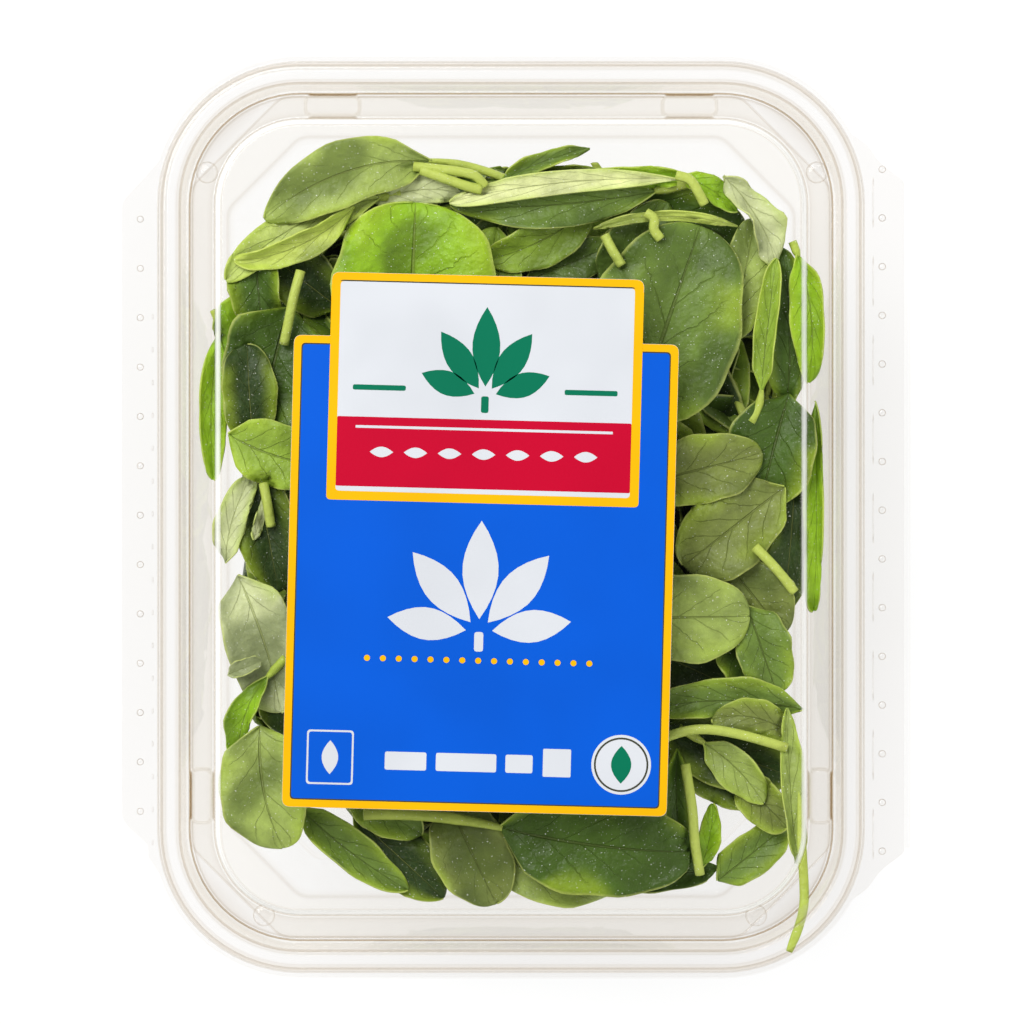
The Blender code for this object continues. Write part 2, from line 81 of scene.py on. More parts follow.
Socket = bpy.types.NodeSocket
Piece = bpy.types.Object
Material = bpy.types.Material
Colour = tuple[float, float, float, float]
Point = tuple[float, float]
Outline = list[Point]
Corner = tuple[float, float, float, float]
Triple = tuple[float, float, float]
Settle = Callable[[np.ndarray], np.ndarray]


# --- Places read from the frame ---


@dataclass(frozen=True)
class Gauge:
    """Driving places of the pack, in millimetres."""

    ring_x: float
    rim_top: float
    ring_top: float
    label_low: float
    label_top: float
    heap_low: float

    @classmethod
    def of_frame(cls, hinge_from_ring: float = 105.15) -> "Gauge":
        """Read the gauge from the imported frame.

        Args:
            hinge_from_ring: distance from the ring's middle to the hinge's axis.

        Returns:
            The gauge of this pack.
        """
        hinge = frame["record"]["behaviour"]["joints"][0]["pos_m"]
        label_low, label_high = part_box("label")
        return cls(
            ring_x=hinge[0] / MM - hinge_from_ring,
            rim_top=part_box("tub")[1].z / MM,
            ring_top=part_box("lid")[1].z / MM,
            label_low=label_low.z / MM,
            label_top=label_high.z / MM,
            heap_low=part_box("spinach")[0].z / MM,
        )

    def world(self, points: np.ndarray) -> np.ndarray:
        """Turn points in millimetres from the ring's middle into world metres."""
        return (points + np.array([self.ring_x, 0.0, 0.0])) * MM


# --- Node trees ---


def display_colour(red: float, green: float, blue: float) -> Colour:
    """Turn a display colour of 0 to 255 into a linear one with full alpha.

    Args:
        red, green, blue: display values from 0 to 255.

    Returns:
        The linear colour, with an alpha of 1.
    """
    shares = (channel / 255 for channel in (red, green, blue))
    linear = [c / 12.92 if c <= 0.04045 else ((c + 0.055) / 1.055) ** 2.4 for c in shares]
    return (linear[0], linear[1], linear[2], 1.0)


class NodeGraph:
    """A node tree under construction, with short ways to add and join nodes."""

    def __init__(self, tree: bpy.types.NodeTree) -> None:
        """Start on an empty tree."""
        self.tree = tree
        self.tree.nodes.clear()

    def node(self, kind: str, **settings: Any) -> bpy.types.Node:
        """Add a node.

        Args:
            kind: Blender's name for the node's type.
            settings: properties to set on it.

        Returns:
            The new node.
        """
        node = self.tree.nodes.new(kind)
        for key, value in settings.items():
            setattr(node, key, value)
        return node

    def feed(self, socket: Socket, value: Any) -> None:
        """Link a socket to another one, or set its value.

        Args:
            socket: the input that is fed.
            value: a socket, or a plain value.
        """
        if isinstance(value, Socket):
            self.tree.links.new(value, socket)
        else:
            socket.default_value = value

    def math(self, operation: str, first: Any, second: Any = 0.0, third: Any = 0.0) -> Socket:
        """Return the result of a Math node.

        Args:
            operation: Blender's name for the sum.
            first, second: what it works on.
            third: what multiply-and-add adds.

        Returns:
            The result.
        """
        node = self.node("ShaderNodeMath", operation=operation)
        for socket, value in zip(node.inputs, (first, second, third)):
            self.feed(socket, value)
        return node.outputs[0]

    def step(self, value: Any, low: float, high: float) -> Socket:
        """Return a smooth step of a value, 0 at low and 1 at high.

        Args:
            value: what is read.
            low, high: where the step starts and ends.

        Returns:
            The smooth step.
        """
        node = self.node("ShaderNodeMapRange", interpolation_type="SMOOTHSTEP")
        self.feed(node.inputs["Value"], value)
        node.inputs["From Min"].default_value = low
        node.inputs["From Max"].default_value = high
        return node.outputs["Result"]

    def fade(self, value: Any, low: float, high: float) -> Socket:
        """Return a smooth step of a value, 1 at low and 0 at high."""
        return self.math("SUBTRACT", 1.0, self.step(value, low, high))


class MaterialGraph(NodeGraph):
    """A material's node tree under construction."""

    def __init__(self, name: str) -> None:
        """Make an empty material.

        Args:
            name: the material's name.
        """
        self.material = bpy.data.materials.new(name)
        self.material.use_nodes = True
        super().__init__(self.material.node_tree)
        self.place = self.node("ShaderNodeTexCoord").outputs["Object"]

    def mix(self, share: Any, first: Any, second: Any, mode: str = "MIX") -> Socket:
        """Return a mix of two colours.

        Args:
            share: how much of the second colour shows.
            first, second: the colours.
            mode: Blender's name for the way of mixing.

        Returns:
            The mixed colour.
        """
        node = self.node("ShaderNodeMix", data_type="RGBA", blend_type=mode)
        self.feed(node.inputs["Factor"], share)
        self.feed(node.inputs[6], first)
        self.feed(node.inputs[7], second)
        return node.outputs[2]

    def noise(self, scale: float, detail: float = 2.0, vector: Any = None) -> Socket:
        """Return a noise value on the piece's own coordinates, or on a given vector.

        Args:
            scale: how fine the noise is.
            detail: how many finer layers it has.
            vector: where it is read; the piece's own place where none is given.

        Returns:
            The noise, from 0 to 1.
        """
        node = self.node("ShaderNodeTexNoise")
        self.feed(node.inputs["Vector"], self.place if vector is None else vector)
        node.inputs["Scale"].default_value = scale
        node.inputs["Detail"].default_value = detail
        return node.outputs["Fac"]

    def attribute(self, name: str) -> bpy.types.Node:
        """Return a node that reads a named attribute of the mesh."""
        return self.node("ShaderNodeAttribute", attribute_name=name)

    def bump(self, height: Any, strength: float, distance: float) -> Socket:
        """Return a normal that a height moves by up to a distance in metres.

        Args:
            height: the relief.
            strength: how much of it shows.
            distance: its depth in metres.

        Returns:
            The moved normal.
        """
        node = self.node("ShaderNodeBump")
        self.feed(node.inputs["Height"], height)
        node.inputs["Strength"].default_value = strength
        node.inputs["Distance"].default_value = distance
        return node.outputs["Normal"]

    def finish(self, shader: Socket) -> Material:
        """Join a shader to the output and return the material.

        Args:
            shader: what the surface shows.

        Returns:
            The material.
        """
        output = self.node("ShaderNodeOutputMaterial")
        self.feed(output.inputs["Surface"], shader)
        return self.material

    def principled(self, colour: Any, roughness: Any, normal: Any = None) -> bpy.types.Node:
        """Return a Principled node with its main inputs fed.

        Args:
            colour: the base colour.
            roughness: the roughness.
            normal: the normal, where relief moves it.

        Returns:
            The node.
        """
        node = self.node("ShaderNodeBsdfPrincipled")
        self.feed(node.inputs["Base Color"], colour)
        self.feed(node.inputs["Roughness"], roughness)
        if normal is not None:
            self.feed(node.inputs["Normal"], normal)
        return node


class GrowthTree(NodeGraph):
    """A Geometry Nodes tree under construction, with named inputs."""

    def __init__(self, name: str, inputs: dict[str, str]) -> None:
        """Make an empty tree.

        Args:
            name: the tree's name.
            inputs: socket type of each named input; a geometry input and output are always there.
        """
        super().__init__(bpy.data.node_groups.new(name, "GeometryNodeTree"))
        sockets = self.tree.interface
        sockets.new_socket("Geometry", in_out="INPUT", socket_type="NodeSocketGeometry")
        for label, kind in inputs.items():
            sockets.new_socket(label, in_out="INPUT", socket_type=kind)
        sockets.new_socket("Geometry", in_out="OUTPUT", socket_type="NodeSocketGeometry")
        self.inputs = self.node("NodeGroupInput").outputs

    def end(self, instances: Socket) -> None:
        """Close the tree: real geometry with the material of its Finish input.

        Args:
            instances: what the tree has made so far.
        """
        real = self.node("GeometryNodeRealizeInstances")
        self.feed(real.inputs["Geometry"], instances)
        painted = self.node("GeometryNodeSetMaterial")
        self.feed(painted.inputs["Geometry"], real.outputs["Geometry"])
        self.feed(painted.inputs["Material"], self.inputs["Finish"])
        output = self.node("NodeGroupOutput")
        self.feed(output.inputs["Geometry"], painted.outputs["Geometry"])

    def grow(self, piece: Piece, values: dict[str, Any]) -> Piece:
        """Run the tree on a piece and keep the result as its plain mesh.

        Args:
            piece: the object whose mesh the tree starts from.
            values: a value for each named input.

        Returns:
            The same object, with the grown mesh and no modifier.
        """
        modifier = piece.modifiers.new(self.tree.name, "NODES")
        modifier.node_group = self.tree
        for item in self.tree.interface.items_tree:
            if item.in_out == "INPUT" and item.name in values:
                modifier[item.identifier] = values[item.name]
        evaluated = piece.evaluated_get(bpy.context.evaluated_depsgraph_get())
        grown = bpy.data.meshes.new_from_object(evaluated)
        piece.modifiers.remove(modifier)
        piece.data = grown
        return piece


# --- Finishes ---


@dataclass(frozen=True)
class ClearSheetFinish:
    """Clear thermoformed sheet that looks amber where it is seen edge on.

    Its outer faces mirror for both, so that light meets one gloss a sheet.
    It reads a painted mark on its points: 1 along a tight bend, where the bent sheet gathers light into a
    brown line, painted here as brown shade, and below
    0 on a steep wall, where a white diffuse layer paints the wall's gleam.
    """

    name: str
    gloss_roughness: float = 0.04
    gloss_low: float = 0.026
    gloss_high: float = 0.5
    bend_shade_tint: Colour = (0.42, 0.29, 0.13, 1.0)
    gleam_colour: Colour = (0.93, 0.94, 0.92, 1.0)
    # Tints of the see-through colour by how edge on the sheet is seen: partly the longer path through the
    # sheet, partly painted shade for the dark surroundings that a real sheet bends into view.
    facing_tints: tuple[tuple[float, tuple[float, float, float]], ...] = (
        (0.00, (0.992, 0.989, 0.986)),
        (0.60, (0.991, 0.987, 0.980)),
        (0.86, (0.982, 0.970, 0.950)),
        (0.95, (0.955, 0.930, 0.890)),
        (1.00, (0.560, 0.430, 0.280)),
    )

    def material(self) -> Material:
        """Build the finish: tinted see-through sheet under a gloss that grows edge on.

        Returns:
            The material.
        """
        graph = MaterialGraph(self.name)
        ripple = graph.bump(graph.noise(35.0, 0.0), 0.12, 0.0006)
        weight = graph.node("ShaderNodeLayerWeight")
        weight.inputs["Blend"].default_value = 0.5
        facing = weight.outputs["Facing"]
        ramp = graph.node("ShaderNodeValToRGB")
        graph.feed(ramp.inputs["Fac"], facing)
        stops = ramp.color_ramp.elements
        for position, tint in self.facing_tints[1:-1]:
            stops.new(position)
        for stop, (position, tint) in zip(stops, self.facing_tints):
            stop.position = position
            stop.color = (*tint, 1.0)
        # Painted shade: where the mark is above 0, the see-through colour turns brown along a bend.
        mark = graph.attribute("sheet_bend").outputs["Fac"]
        bent = graph.mix(mark, (1.0, 1.0, 1.0, 1.0), self.bend_shade_tint)
        clear = graph.node("ShaderNodeBsdfTransparent")
        graph.feed(clear.inputs["Color"], graph.mix(1.0, ramp.outputs["Color"], bent, "MULTIPLY"))
        gloss = graph.node("ShaderNodeBsdfGlossy")
        gloss.inputs["Roughness"].default_value = self.gloss_roughness
        graph.feed(gloss.inputs["Normal"], ripple)
        share = graph.math("MULTIPLY_ADD", graph.math("POWER", facing, 6.0), self.gloss_high, self.gloss_low)
        outer = graph.math("SUBTRACT", 1.0, graph.node("ShaderNodeNewGeometry").outputs["Backfacing"])
        share = graph.math("MULTIPLY", share, outer)
        layers = graph.node("ShaderNodeMixShader")
        graph.feed(layers.inputs[0], share)
        graph.feed(layers.inputs[1], clear.outputs["BSDF"])
        graph.feed(layers.inputs[2], gloss.outputs["BSDF"])
        # Painted highlight: where the mark is below 0, a white diffuse layer stands in for the gleam of a
        # steep wall.
        painted_gleam = graph.node("ShaderNodeBsdfDiffuse")
        painted_gleam.inputs["Color"].default_value = self.gleam_colour
        gleam_mix = graph.node("ShaderNodeMixShader")
        graph.feed(gleam_mix.inputs[0], graph.math("MULTIPLY", mark, -1.0))
        graph.feed(gleam_mix.inputs[1], layers.outputs["Shader"])
        graph.feed(gleam_mix.inputs[2], painted_gleam.outputs["BSDF"])
        return graph.finish(gleam_mix.outputs["Shader"])


@dataclass(frozen=True)
class LeafFinish:
    """Satin leaf skin with a midrib, curved side veins, a fine net between them and a pale rim, with a
    painted glow towards the rim and partly painted shade in the veins.

    It reads leaf_place (along the blade, across it from -1 to 1, a seed), leaf_tone (the colour, and in
    its alpha how pale the veins are) and leaf_kind (0 on a blade, 1 on a stem).
    """

    name: str = "spinach_leaf_skin"
    side_veins: float = 5.0
    sweep: float = 0.50
    roughness: float = 0.40
    rim_colour: Colour = display_colour(196, 206, 112)
    stem_colour: Colour = display_colour(176, 190, 84)
    painted_glow_colour: Colour = display_colour(170, 196, 48)
    deep_colour: Colour = display_colour(52, 72, 26)

    def material(self) -> Material:
        """Build the finish.

        Returns:
            The material.
        """
        graph = MaterialGraph(self.name)
        place = graph.node("ShaderNodeSeparateXYZ")
        graph.feed(place.inputs[0], graph.attribute("leaf_place").outputs["Vector"])
        along, across, seed = place.outputs
        tone = graph.attribute("leaf_tone")
        kind = graph.attribute("leaf_kind").outputs["Fac"]
        out = graph.math("ABSOLUTE", across)
        mottle = graph.noise(190.0, 4.0)
        patch = graph.noise(48.0, 1.0)
        pore = graph.noise(620.0, 1.0)
        midrib = self.midrib(graph, along, out)
        side = self.side_vein(graph, along, across, out, mottle)
        side = graph.math("MULTIPLY", side, graph.step(patch, 0.25, 0.60))
        net = self.net_vein(graph, along, across, seed)
        shade = graph.math("MULTIPLY_ADD", mottle, 1.0, 0.50)
        grey = graph.node("ShaderNodeCombineColor")
        for channel in grey.inputs[:3]:
            graph.feed(channel, shade)
        skin = graph.mix(1.0, tone.outputs["Color"], grey.outputs["Color"], "MULTIPLY")
        # Painted light: a yellow-green glow towards the rim, in some patches, for light shining through the
        # leaf.
        margin = graph.math("MULTIPLY", graph.step(out, 0.30, 1.0), graph.step(patch, 0.44, 0.60))
        skin = graph.mix(graph.math("MULTIPLY", margin, 0.45), skin, self.painted_glow_colour)
        skin = graph.mix(graph.math("MULTIPLY", graph.fade(patch, 0.34, 0.50), 0.55), skin, self.deep_colour)
        # Vein colour: partly the veins' own colour, partly painted shade in the sunken vein; the tone's alpha
        # picks between the darker and the paler one.
        dark = graph.mix(1.0, skin, (0.36, 0.40, 0.30, 1.0), "MULTIPLY")
        pale = graph.mix(0.55, skin, self.rim_colour)
        vein = graph.mix(tone.outputs["Alpha"], dark, pale)
        side = graph.math("MULTIPLY", side, 0.42)
        lines = graph.math("MAXIMUM", graph.math("MULTIPLY", midrib, 0.80), side)
        skin = graph.mix(graph.math("MAXIMUM", lines, graph.math("MULTIPLY", net, 0.14)), skin, vein)
        skin = graph.mix(graph.math("MULTIPLY", graph.step(out, 0.93, 1.0), 0.48), skin, self.rim_colour)
        stem = graph.mix(graph.math("MULTIPLY", mottle, 0.45), self.stem_colour, tone.outputs["Color"])
        skin = graph.mix(kind, skin, stem)
        # Tiny pale specks.
        pale_specks = graph.step(graph.noise(2600.0, 0.0), 0.79, 0.83)
        skin = graph.mix(graph.math("MULTIPLY", pale_specks, 0.7), skin, (0.85, 0.88, 0.80, 1.0))
        pits = graph.math("SUBTRACT", graph.math("MULTIPLY", pore, 0.35), lines)
        relief = graph.math("MULTIPLY_ADD", mottle, 1.2, pits)
        rough = graph.math("MULTIPLY_ADD", patch, 0.20, self.roughness - 0.10)
        shader = graph.principled(skin, rough, graph.bump(relief, 0.7, 0.0012))
        shader.inputs["Specular IOR Level"].default_value = 0.20
        return graph.finish(shader.outputs["BSDF"])

    def midrib(self, graph: MaterialGraph, along: Any, out: Any) -> Socket:
        """Return a mask of the midrib, which thins towards the tip.

        Args:
            graph: the material's tree.
            along, out: place along the blade, and out from the midrib.

        Returns:
            The mask.
        """
        width = graph.math("MULTIPLY_ADD", along, -0.036, 0.050)
        return graph.fade(graph.math("DIVIDE", out, width), 0.35, 1.0)

    def side_vein(
        self, graph: MaterialGraph, along: Any, across: Any, out: Any, stray: Any
    ) -> Socket:
        """Return a mask of the side veins, which leave the midrib by turns and sweep towards the tip.

        Args:
            graph: the material's tree.
            along, across, out: place along and across the blade, and out from the midrib.
            stray: noise that makes the veins wander.

        Returns:
            The mask.
        """
        lag = graph.math("MULTIPLY", graph.math("POWER", out, 0.8), self.sweep)
        swept = graph.math("SUBTRACT", along, lag)
        strays = graph.math("MULTIPLY", graph.math("MULTIPLY", stray, out), 0.30)
        swept = graph.math("ADD", swept, strays)
        offset = graph.math("MULTIPLY", graph.math("GREATER_THAN", across, 0.0), 0.5)
        count = graph.math("ADD", graph.math("MULTIPLY", swept, self.side_veins), offset)
        ridge = graph.math("ABSOLUTE", graph.math("SUBTRACT", graph.math("FRACT", count), 0.5))
        line = graph.step(ridge, 0.462, 0.5)
        return graph.math("MULTIPLY", line, graph.fade(out, 0.50, 0.92))

    def net_vein(self, graph: MaterialGraph, along: Any, across: Any, seed: Any) -> Socket:
        """Return a mask of the fine net of veins.

        Args:
            graph: the material's tree.
            along, across: place along and across the blade.
            seed: the leaf's own number.

        Returns:
            The mask.
        """
        spread = graph.node("ShaderNodeCombineXYZ")
        graph.feed(spread.inputs[0], graph.math("MULTIPLY", along, 26.0))
        graph.feed(spread.inputs[1], graph.math("MULTIPLY", across, 9.0))
        graph.feed(spread.inputs[2], graph.math("MULTIPLY", seed, 31.0))
        cells = graph.node("ShaderNodeTexVoronoi", feature="DISTANCE_TO_EDGE")
        graph.feed(cells.inputs["Vector"], spread.outputs["Vector"])
        cells.inputs["Scale"].default_value = 1.0
        return graph.fade(cells.outputs["Distance"], 0.03, 0.14)


@dataclass(frozen=True)
class PaintedShadeBedFinish:
    """Crowded leaves deep in the heap, painted near black green for the shade between them."""

    name: str = "spinach_bed"
    dark: Colour = display_colour(22, 31, 13)
    light: Colour = display_colour(66, 84, 34)

    def material(self) -> Material:
        """Build the finish.

        Returns:
            The material.
        """
        graph = MaterialGraph(self.name)
        cells = graph.node("ShaderNodeTexVoronoi")
        graph.feed(cells.inputs["Vector"], graph.place)
        cells.inputs["Scale"].default_value = 55.0
        share = graph.math("MULTIPLY", graph.noise(90.0, 5.0), cells.outputs["Distance"])
        colour = graph.mix(graph.step(share, 0.1, 0.5), self.dark, self.light)
        normal = graph.bump(cells.outputs["Distance"], 0.8, 0.003)
        return graph.finish(graph.principled(colour, 0.6, normal).outputs["BSDF"])


@dataclass(frozen=True)
class PrintFinish:
    """Ink on coated label stock: a field of colour with a fine paper grain and a light varnish."""

    name: str
    colour: Colour
    roughness: float = 0.36

    def material(self) -> Material:
        """Build the finish.

        Returns:
            The material.
        """
        graph = MaterialGraph(self.name)
        grain = graph.noise(2400.0, 3.0)
        cloud = graph.noise(28.0, 2.0)
        worn = tuple(0.90 * channel for channel in self.colour[:3]) + (1.0,)
        colour = graph.mix(graph.step(cloud, 0.3, 0.8), self.colour, worn)
        rough = graph.math("MULTIPLY_ADD", grain, 0.14, self.roughness - 0.07)
        shader = graph.principled(colour, rough, graph.bump(grain, 0.10, 0.00008))
        shader.inputs["Specular IOR Level"].default_value = 0.12
        shader.inputs["Coat Weight"].default_value = 0.03
        shader.inputs["Coat Roughness"].default_value = 0.12
        return graph.finish(shader.outputs["BSDF"])


# --- Outlines and meshes ---


def arc(centre: Point, radius: float, start: float, end: float, steps: int) -> Outline:
    """Return the points of an arc.

    Args:
        centre: the arc's centre.
        radius: its radius.
        start: angle of its first point, in degrees anticlockwise from +x.
        end: angle of its last point.
        steps: how many straight steps stand for it.

    Returns:
        Its points, both ends among them.
    """
    turns = [math.radians(start + (end - start) * i / steps) for i in range(steps + 1)]
    return [(centre[0] + radius * math.cos(t), centre[1] + radius * math.sin(t)) for t in turns]


def eased(points: Sequence[Point], radii: Sequence[float], steps: int = 4, closed: bool = False) -> Outline:
    """Round the corners of a line of straight runs.

    Args:
        points: the corners.
        radii: how far along both runs each corner's rounding starts; 0 keeps it sharp.
        steps: how many straight steps stand for one rounding.
        closed: whether the last point joins the first.

    Returns:
        The points of the rounded line.
    """
    line: Outline = []
    count = len(points)
    for i, (corner, radius) in enumerate(zip(points, radii)):
        if radius == 0 or (not closed and i in (0, count - 1)):
            line.append(corner)
            continue
        here = Vector(corner)
        back = Vector(points[i - 1]) - here
        on = Vector(points[(i + 1) % count]) - here
        reach = min(radius, 0.49 * back.length, 0.49 * on.length)
        first = here + back.normalized() * reach
        last = here + on.normalized() * reach
        for k in range(steps + 1):
            t = k / steps
            place = first * (1 - t) ** 2 + here * (2 * t * (1 - t)) + last * t**2
            line.append((place.x, place.y))
    return line


def mirrored(quarter: Outline, end: Sequence[float] = (), side: Sequence[float] = ()) -> Outline:
    """Mirror a +x +y corner into a closed anticlockwise outline.

    Args:
        quarter: the corner's points, from the +x side to the +y end.
        end: x of extra points on the +y end.
        side: y of extra points on both long sides.

    Returns:
        The closed outline.
    """
    half_width = quarter[0][0]
    half_length = quarter[-1][1]
    top = [(x, half_length) for x in sorted(end, reverse=True)]
    left = [(-half_width, y) for y in sorted(side, reverse=True)]
    right = [(half_width, y) for y in sorted(side)]
    return (
        quarter
        + top
        + [(-x, y) for x, y in reversed(quarter)]
        + left
        + [(-x, -y) for x, y in quarter]
        + [(x, -y) for x, y in reversed(quarter)]
        + right
    )


def join_loops(mesh: bmesh.types.BMesh, loops: Sequence[Sequence[bmesh.types.BMVert]]) -> None:
    """Join closed loops of as many points into a wall.

    Args:
        mesh: the mesh under construction.
        loops: its loops, in order.
    """
    count = len(loops[0])
    for outer, inner in zip(loops, loops[1:]):
        for i in range(count):
            following = (i + 1) % count
            mesh.faces.new((outer[i], outer[following], inner[following], inner[i]))


def mesh_data(mesh: bmesh.types.BMesh, name: str) -> bpy.types.Mesh:
    """Turn a mesh under construction into mesh data, and free it.

    Args:
        mesh: the mesh under construction.
        name: the data's name.

    Returns:
        The data.
    """
    data = bpy.data.meshes.new(name)
    mesh.to_mesh(data)
    mesh.free()
    return data


def new_piece(name: str, mesh: bpy.types.Mesh, finish: Material | None = None) -> Piece:
    """Put a mesh in the scene as a piece with its finish.

    Args:
        name: its name.
        mesh: its mesh.
        finish: its material, where it has one yet.

    Returns:
        The piece, linked to the scene.
    """
    piece = bpy.data.objects.new(name, mesh)
    bpy.context.scene.collection.objects.link(piece)
    if finish is not None:
        mesh.materials.clear()
        mesh.materials.append(finish)
    return piece


def baked(piece: Piece) -> Piece:
    """Apply a piece's modifiers to its mesh.

    Args:
        piece: the object whose modifiers are applied.

    Returns:
        The same object, with a plain mesh.
    """
    evaluated = piece.evaluated_get(bpy.context.evaluated_depsgraph_get())
    mesh = bpy.data.meshes.new_from_object(evaluated)
    piece.modifiers.clear()
    piece.data = mesh
    return piece


def smooth(mesh: bpy.types.Mesh, angle: float = 40.0) -> None:
    """Shade a mesh smooth, with edges over an angle in degrees kept sharp."""
    mesh.shade_smooth()
    mesh.set_sharp_from_angle(angle=math.radians(angle))


def bent(corners: Sequence[Corner], steps: int = 6) -> list[Triple]:
    """Round a sheet's profile and mark its bends with painted shade.

    Args:
        corners: inset, height, rounding and bend mark of each corner: painted shade from 0 to 1, or below 0 a
            painted gleam.
        steps: how many straight steps stand for one rounding.

    Returns:
        Inset, height and painted bend mark of each station.
    """
    stations = []
    for number, (inset, z, rounding, mark) in enumerate(corners):
        if rounding == 0 or number in (0, len(corners) - 1):
            stations.append((inset, z, mark))
            continue
        near = [(x, y) for x, y, _, _ in corners[number - 1 : number + 2]]
        line = eased(near, (0, rounding, 0), steps)[1:-1]
        for k, (x, y) in enumerate(line):
            off = abs(2 * k / steps - 1)
            stations.append((x, y, mark * max(0.0, 1 - BEND_FADE * off)))
    return stations


@dataclass
class FormedSheet:
    """A flat flange with a lofted form inside it, made of sheet of even thickness.

    Each outline's points hold x, y, height and a painted mark: bend shade from 0 to 1, or below 0 a gleam.
    """

    name: str
    gauge: Gauge
    edge: Outline
    edge_z: float
    outlines: list[list[tuple[float, float, float, float]]]
    thickness: float

    def build(self) -> Piece:
        """Build the sheet, whose upper face follows the outlines.

        Returns:
            The sheet as a closed piece without a finish.
        """
        mesh = bmesh.new()
        # Painted mark of each point: bend shade above 0, a gleam below 0.
        layer = mesh.verts.layers.float.new("sheet_bend")
        loops = [[mesh.verts.new(self.at(point[:3])) for point in outline] for outline in self.outlines]
        for loop, outline in zip(loops, self.outlines):
            for vertex, point in zip(loop, outline):
                vertex[layer] = point[3]
        count = len(loops[0])
        join_loops(mesh, loops)
        mesh.faces.new(loops[-1])
        rim = [mesh.verts.new(self.at((x, y, self.edge_z))) for x, y in self.edge]
        borders = [mesh.edges.new((rim[i - 1], rim[i])) for i in range(len(rim))]
        borders += [mesh.edges.get((loops[0][i - 1], loops[0][i])) for i in range(count)]
        bmesh.ops.triangle_fill(mesh, use_beauty=True, edges=borders)
        bmesh.ops.recalc_face_normals(mesh, faces=mesh.faces)
        floor = max(mesh.faces, key=lambda face: face.calc_area())
        if floor.normal.z < 0:
            bmesh.ops.reverse_faces(mesh, faces=mesh.faces)
        data = mesh_data(mesh, self.name)
        piece = new_piece(self.name, data)
        sheet = piece.modifiers.new("sheet", "SOLIDIFY")
        sheet.thickness = self.thickness * MM
        sheet.offset = -1
        sheet.use_even_offset = True
        baked(piece)
        smooth(piece.data)
        return piece

    def at(self, point: Sequence[float]) -> Vector:
        """Return a point of the sheet in world metres."""
        return Vector(self.gauge.world(np.array(point, dtype=float)))


# --- The pack's two sheets ---


@dataclass
class RingShape:
    """Outlines of the raised ring and of the tray's body, which both sheets follow."""

    half_width: float = 93.6
    half_length: float = 120.65
    radius: float = 37.8
    band: float = 7.5
    edge_half_length: float = 122.3
    edge_margin: float = 1.65
    lid_edge_margin: float = 1.2
    strip_end: float = 104.2
    strip_start: float = 100.5
    strip_corner: float = 88.9
    flare: tuple[Point, ...] = ((94.5, 98.4), (97.1, 94.5), (99.5, 92.3))
    corner_steps: int = 16

    def corner(self, inset: float) -> Outline:
        """Return a corner of the ring's outline, moved inwards by an inset.

        Args:
            inset: how far inside the outline it runs, in millimetres.

        Returns:
            Its points, from the +x side to the +y end.
        """
        radius = self.radius - inset
        centre = (self.half_width - inset - radius, self.half_length - inset - radius)
        return arc(centre, radius, 0, 90, self.corner_steps)

    def hinge_strip(self) -> Outline:
        """Return the +x edge from its -y end to its +y end: a strip that flares out of the corners."""
        upper = [(self.strip_end, self.strip_corner)] + list(reversed(self.flare))
        return [(x, -y) for x, y in reversed(upper)] + upper


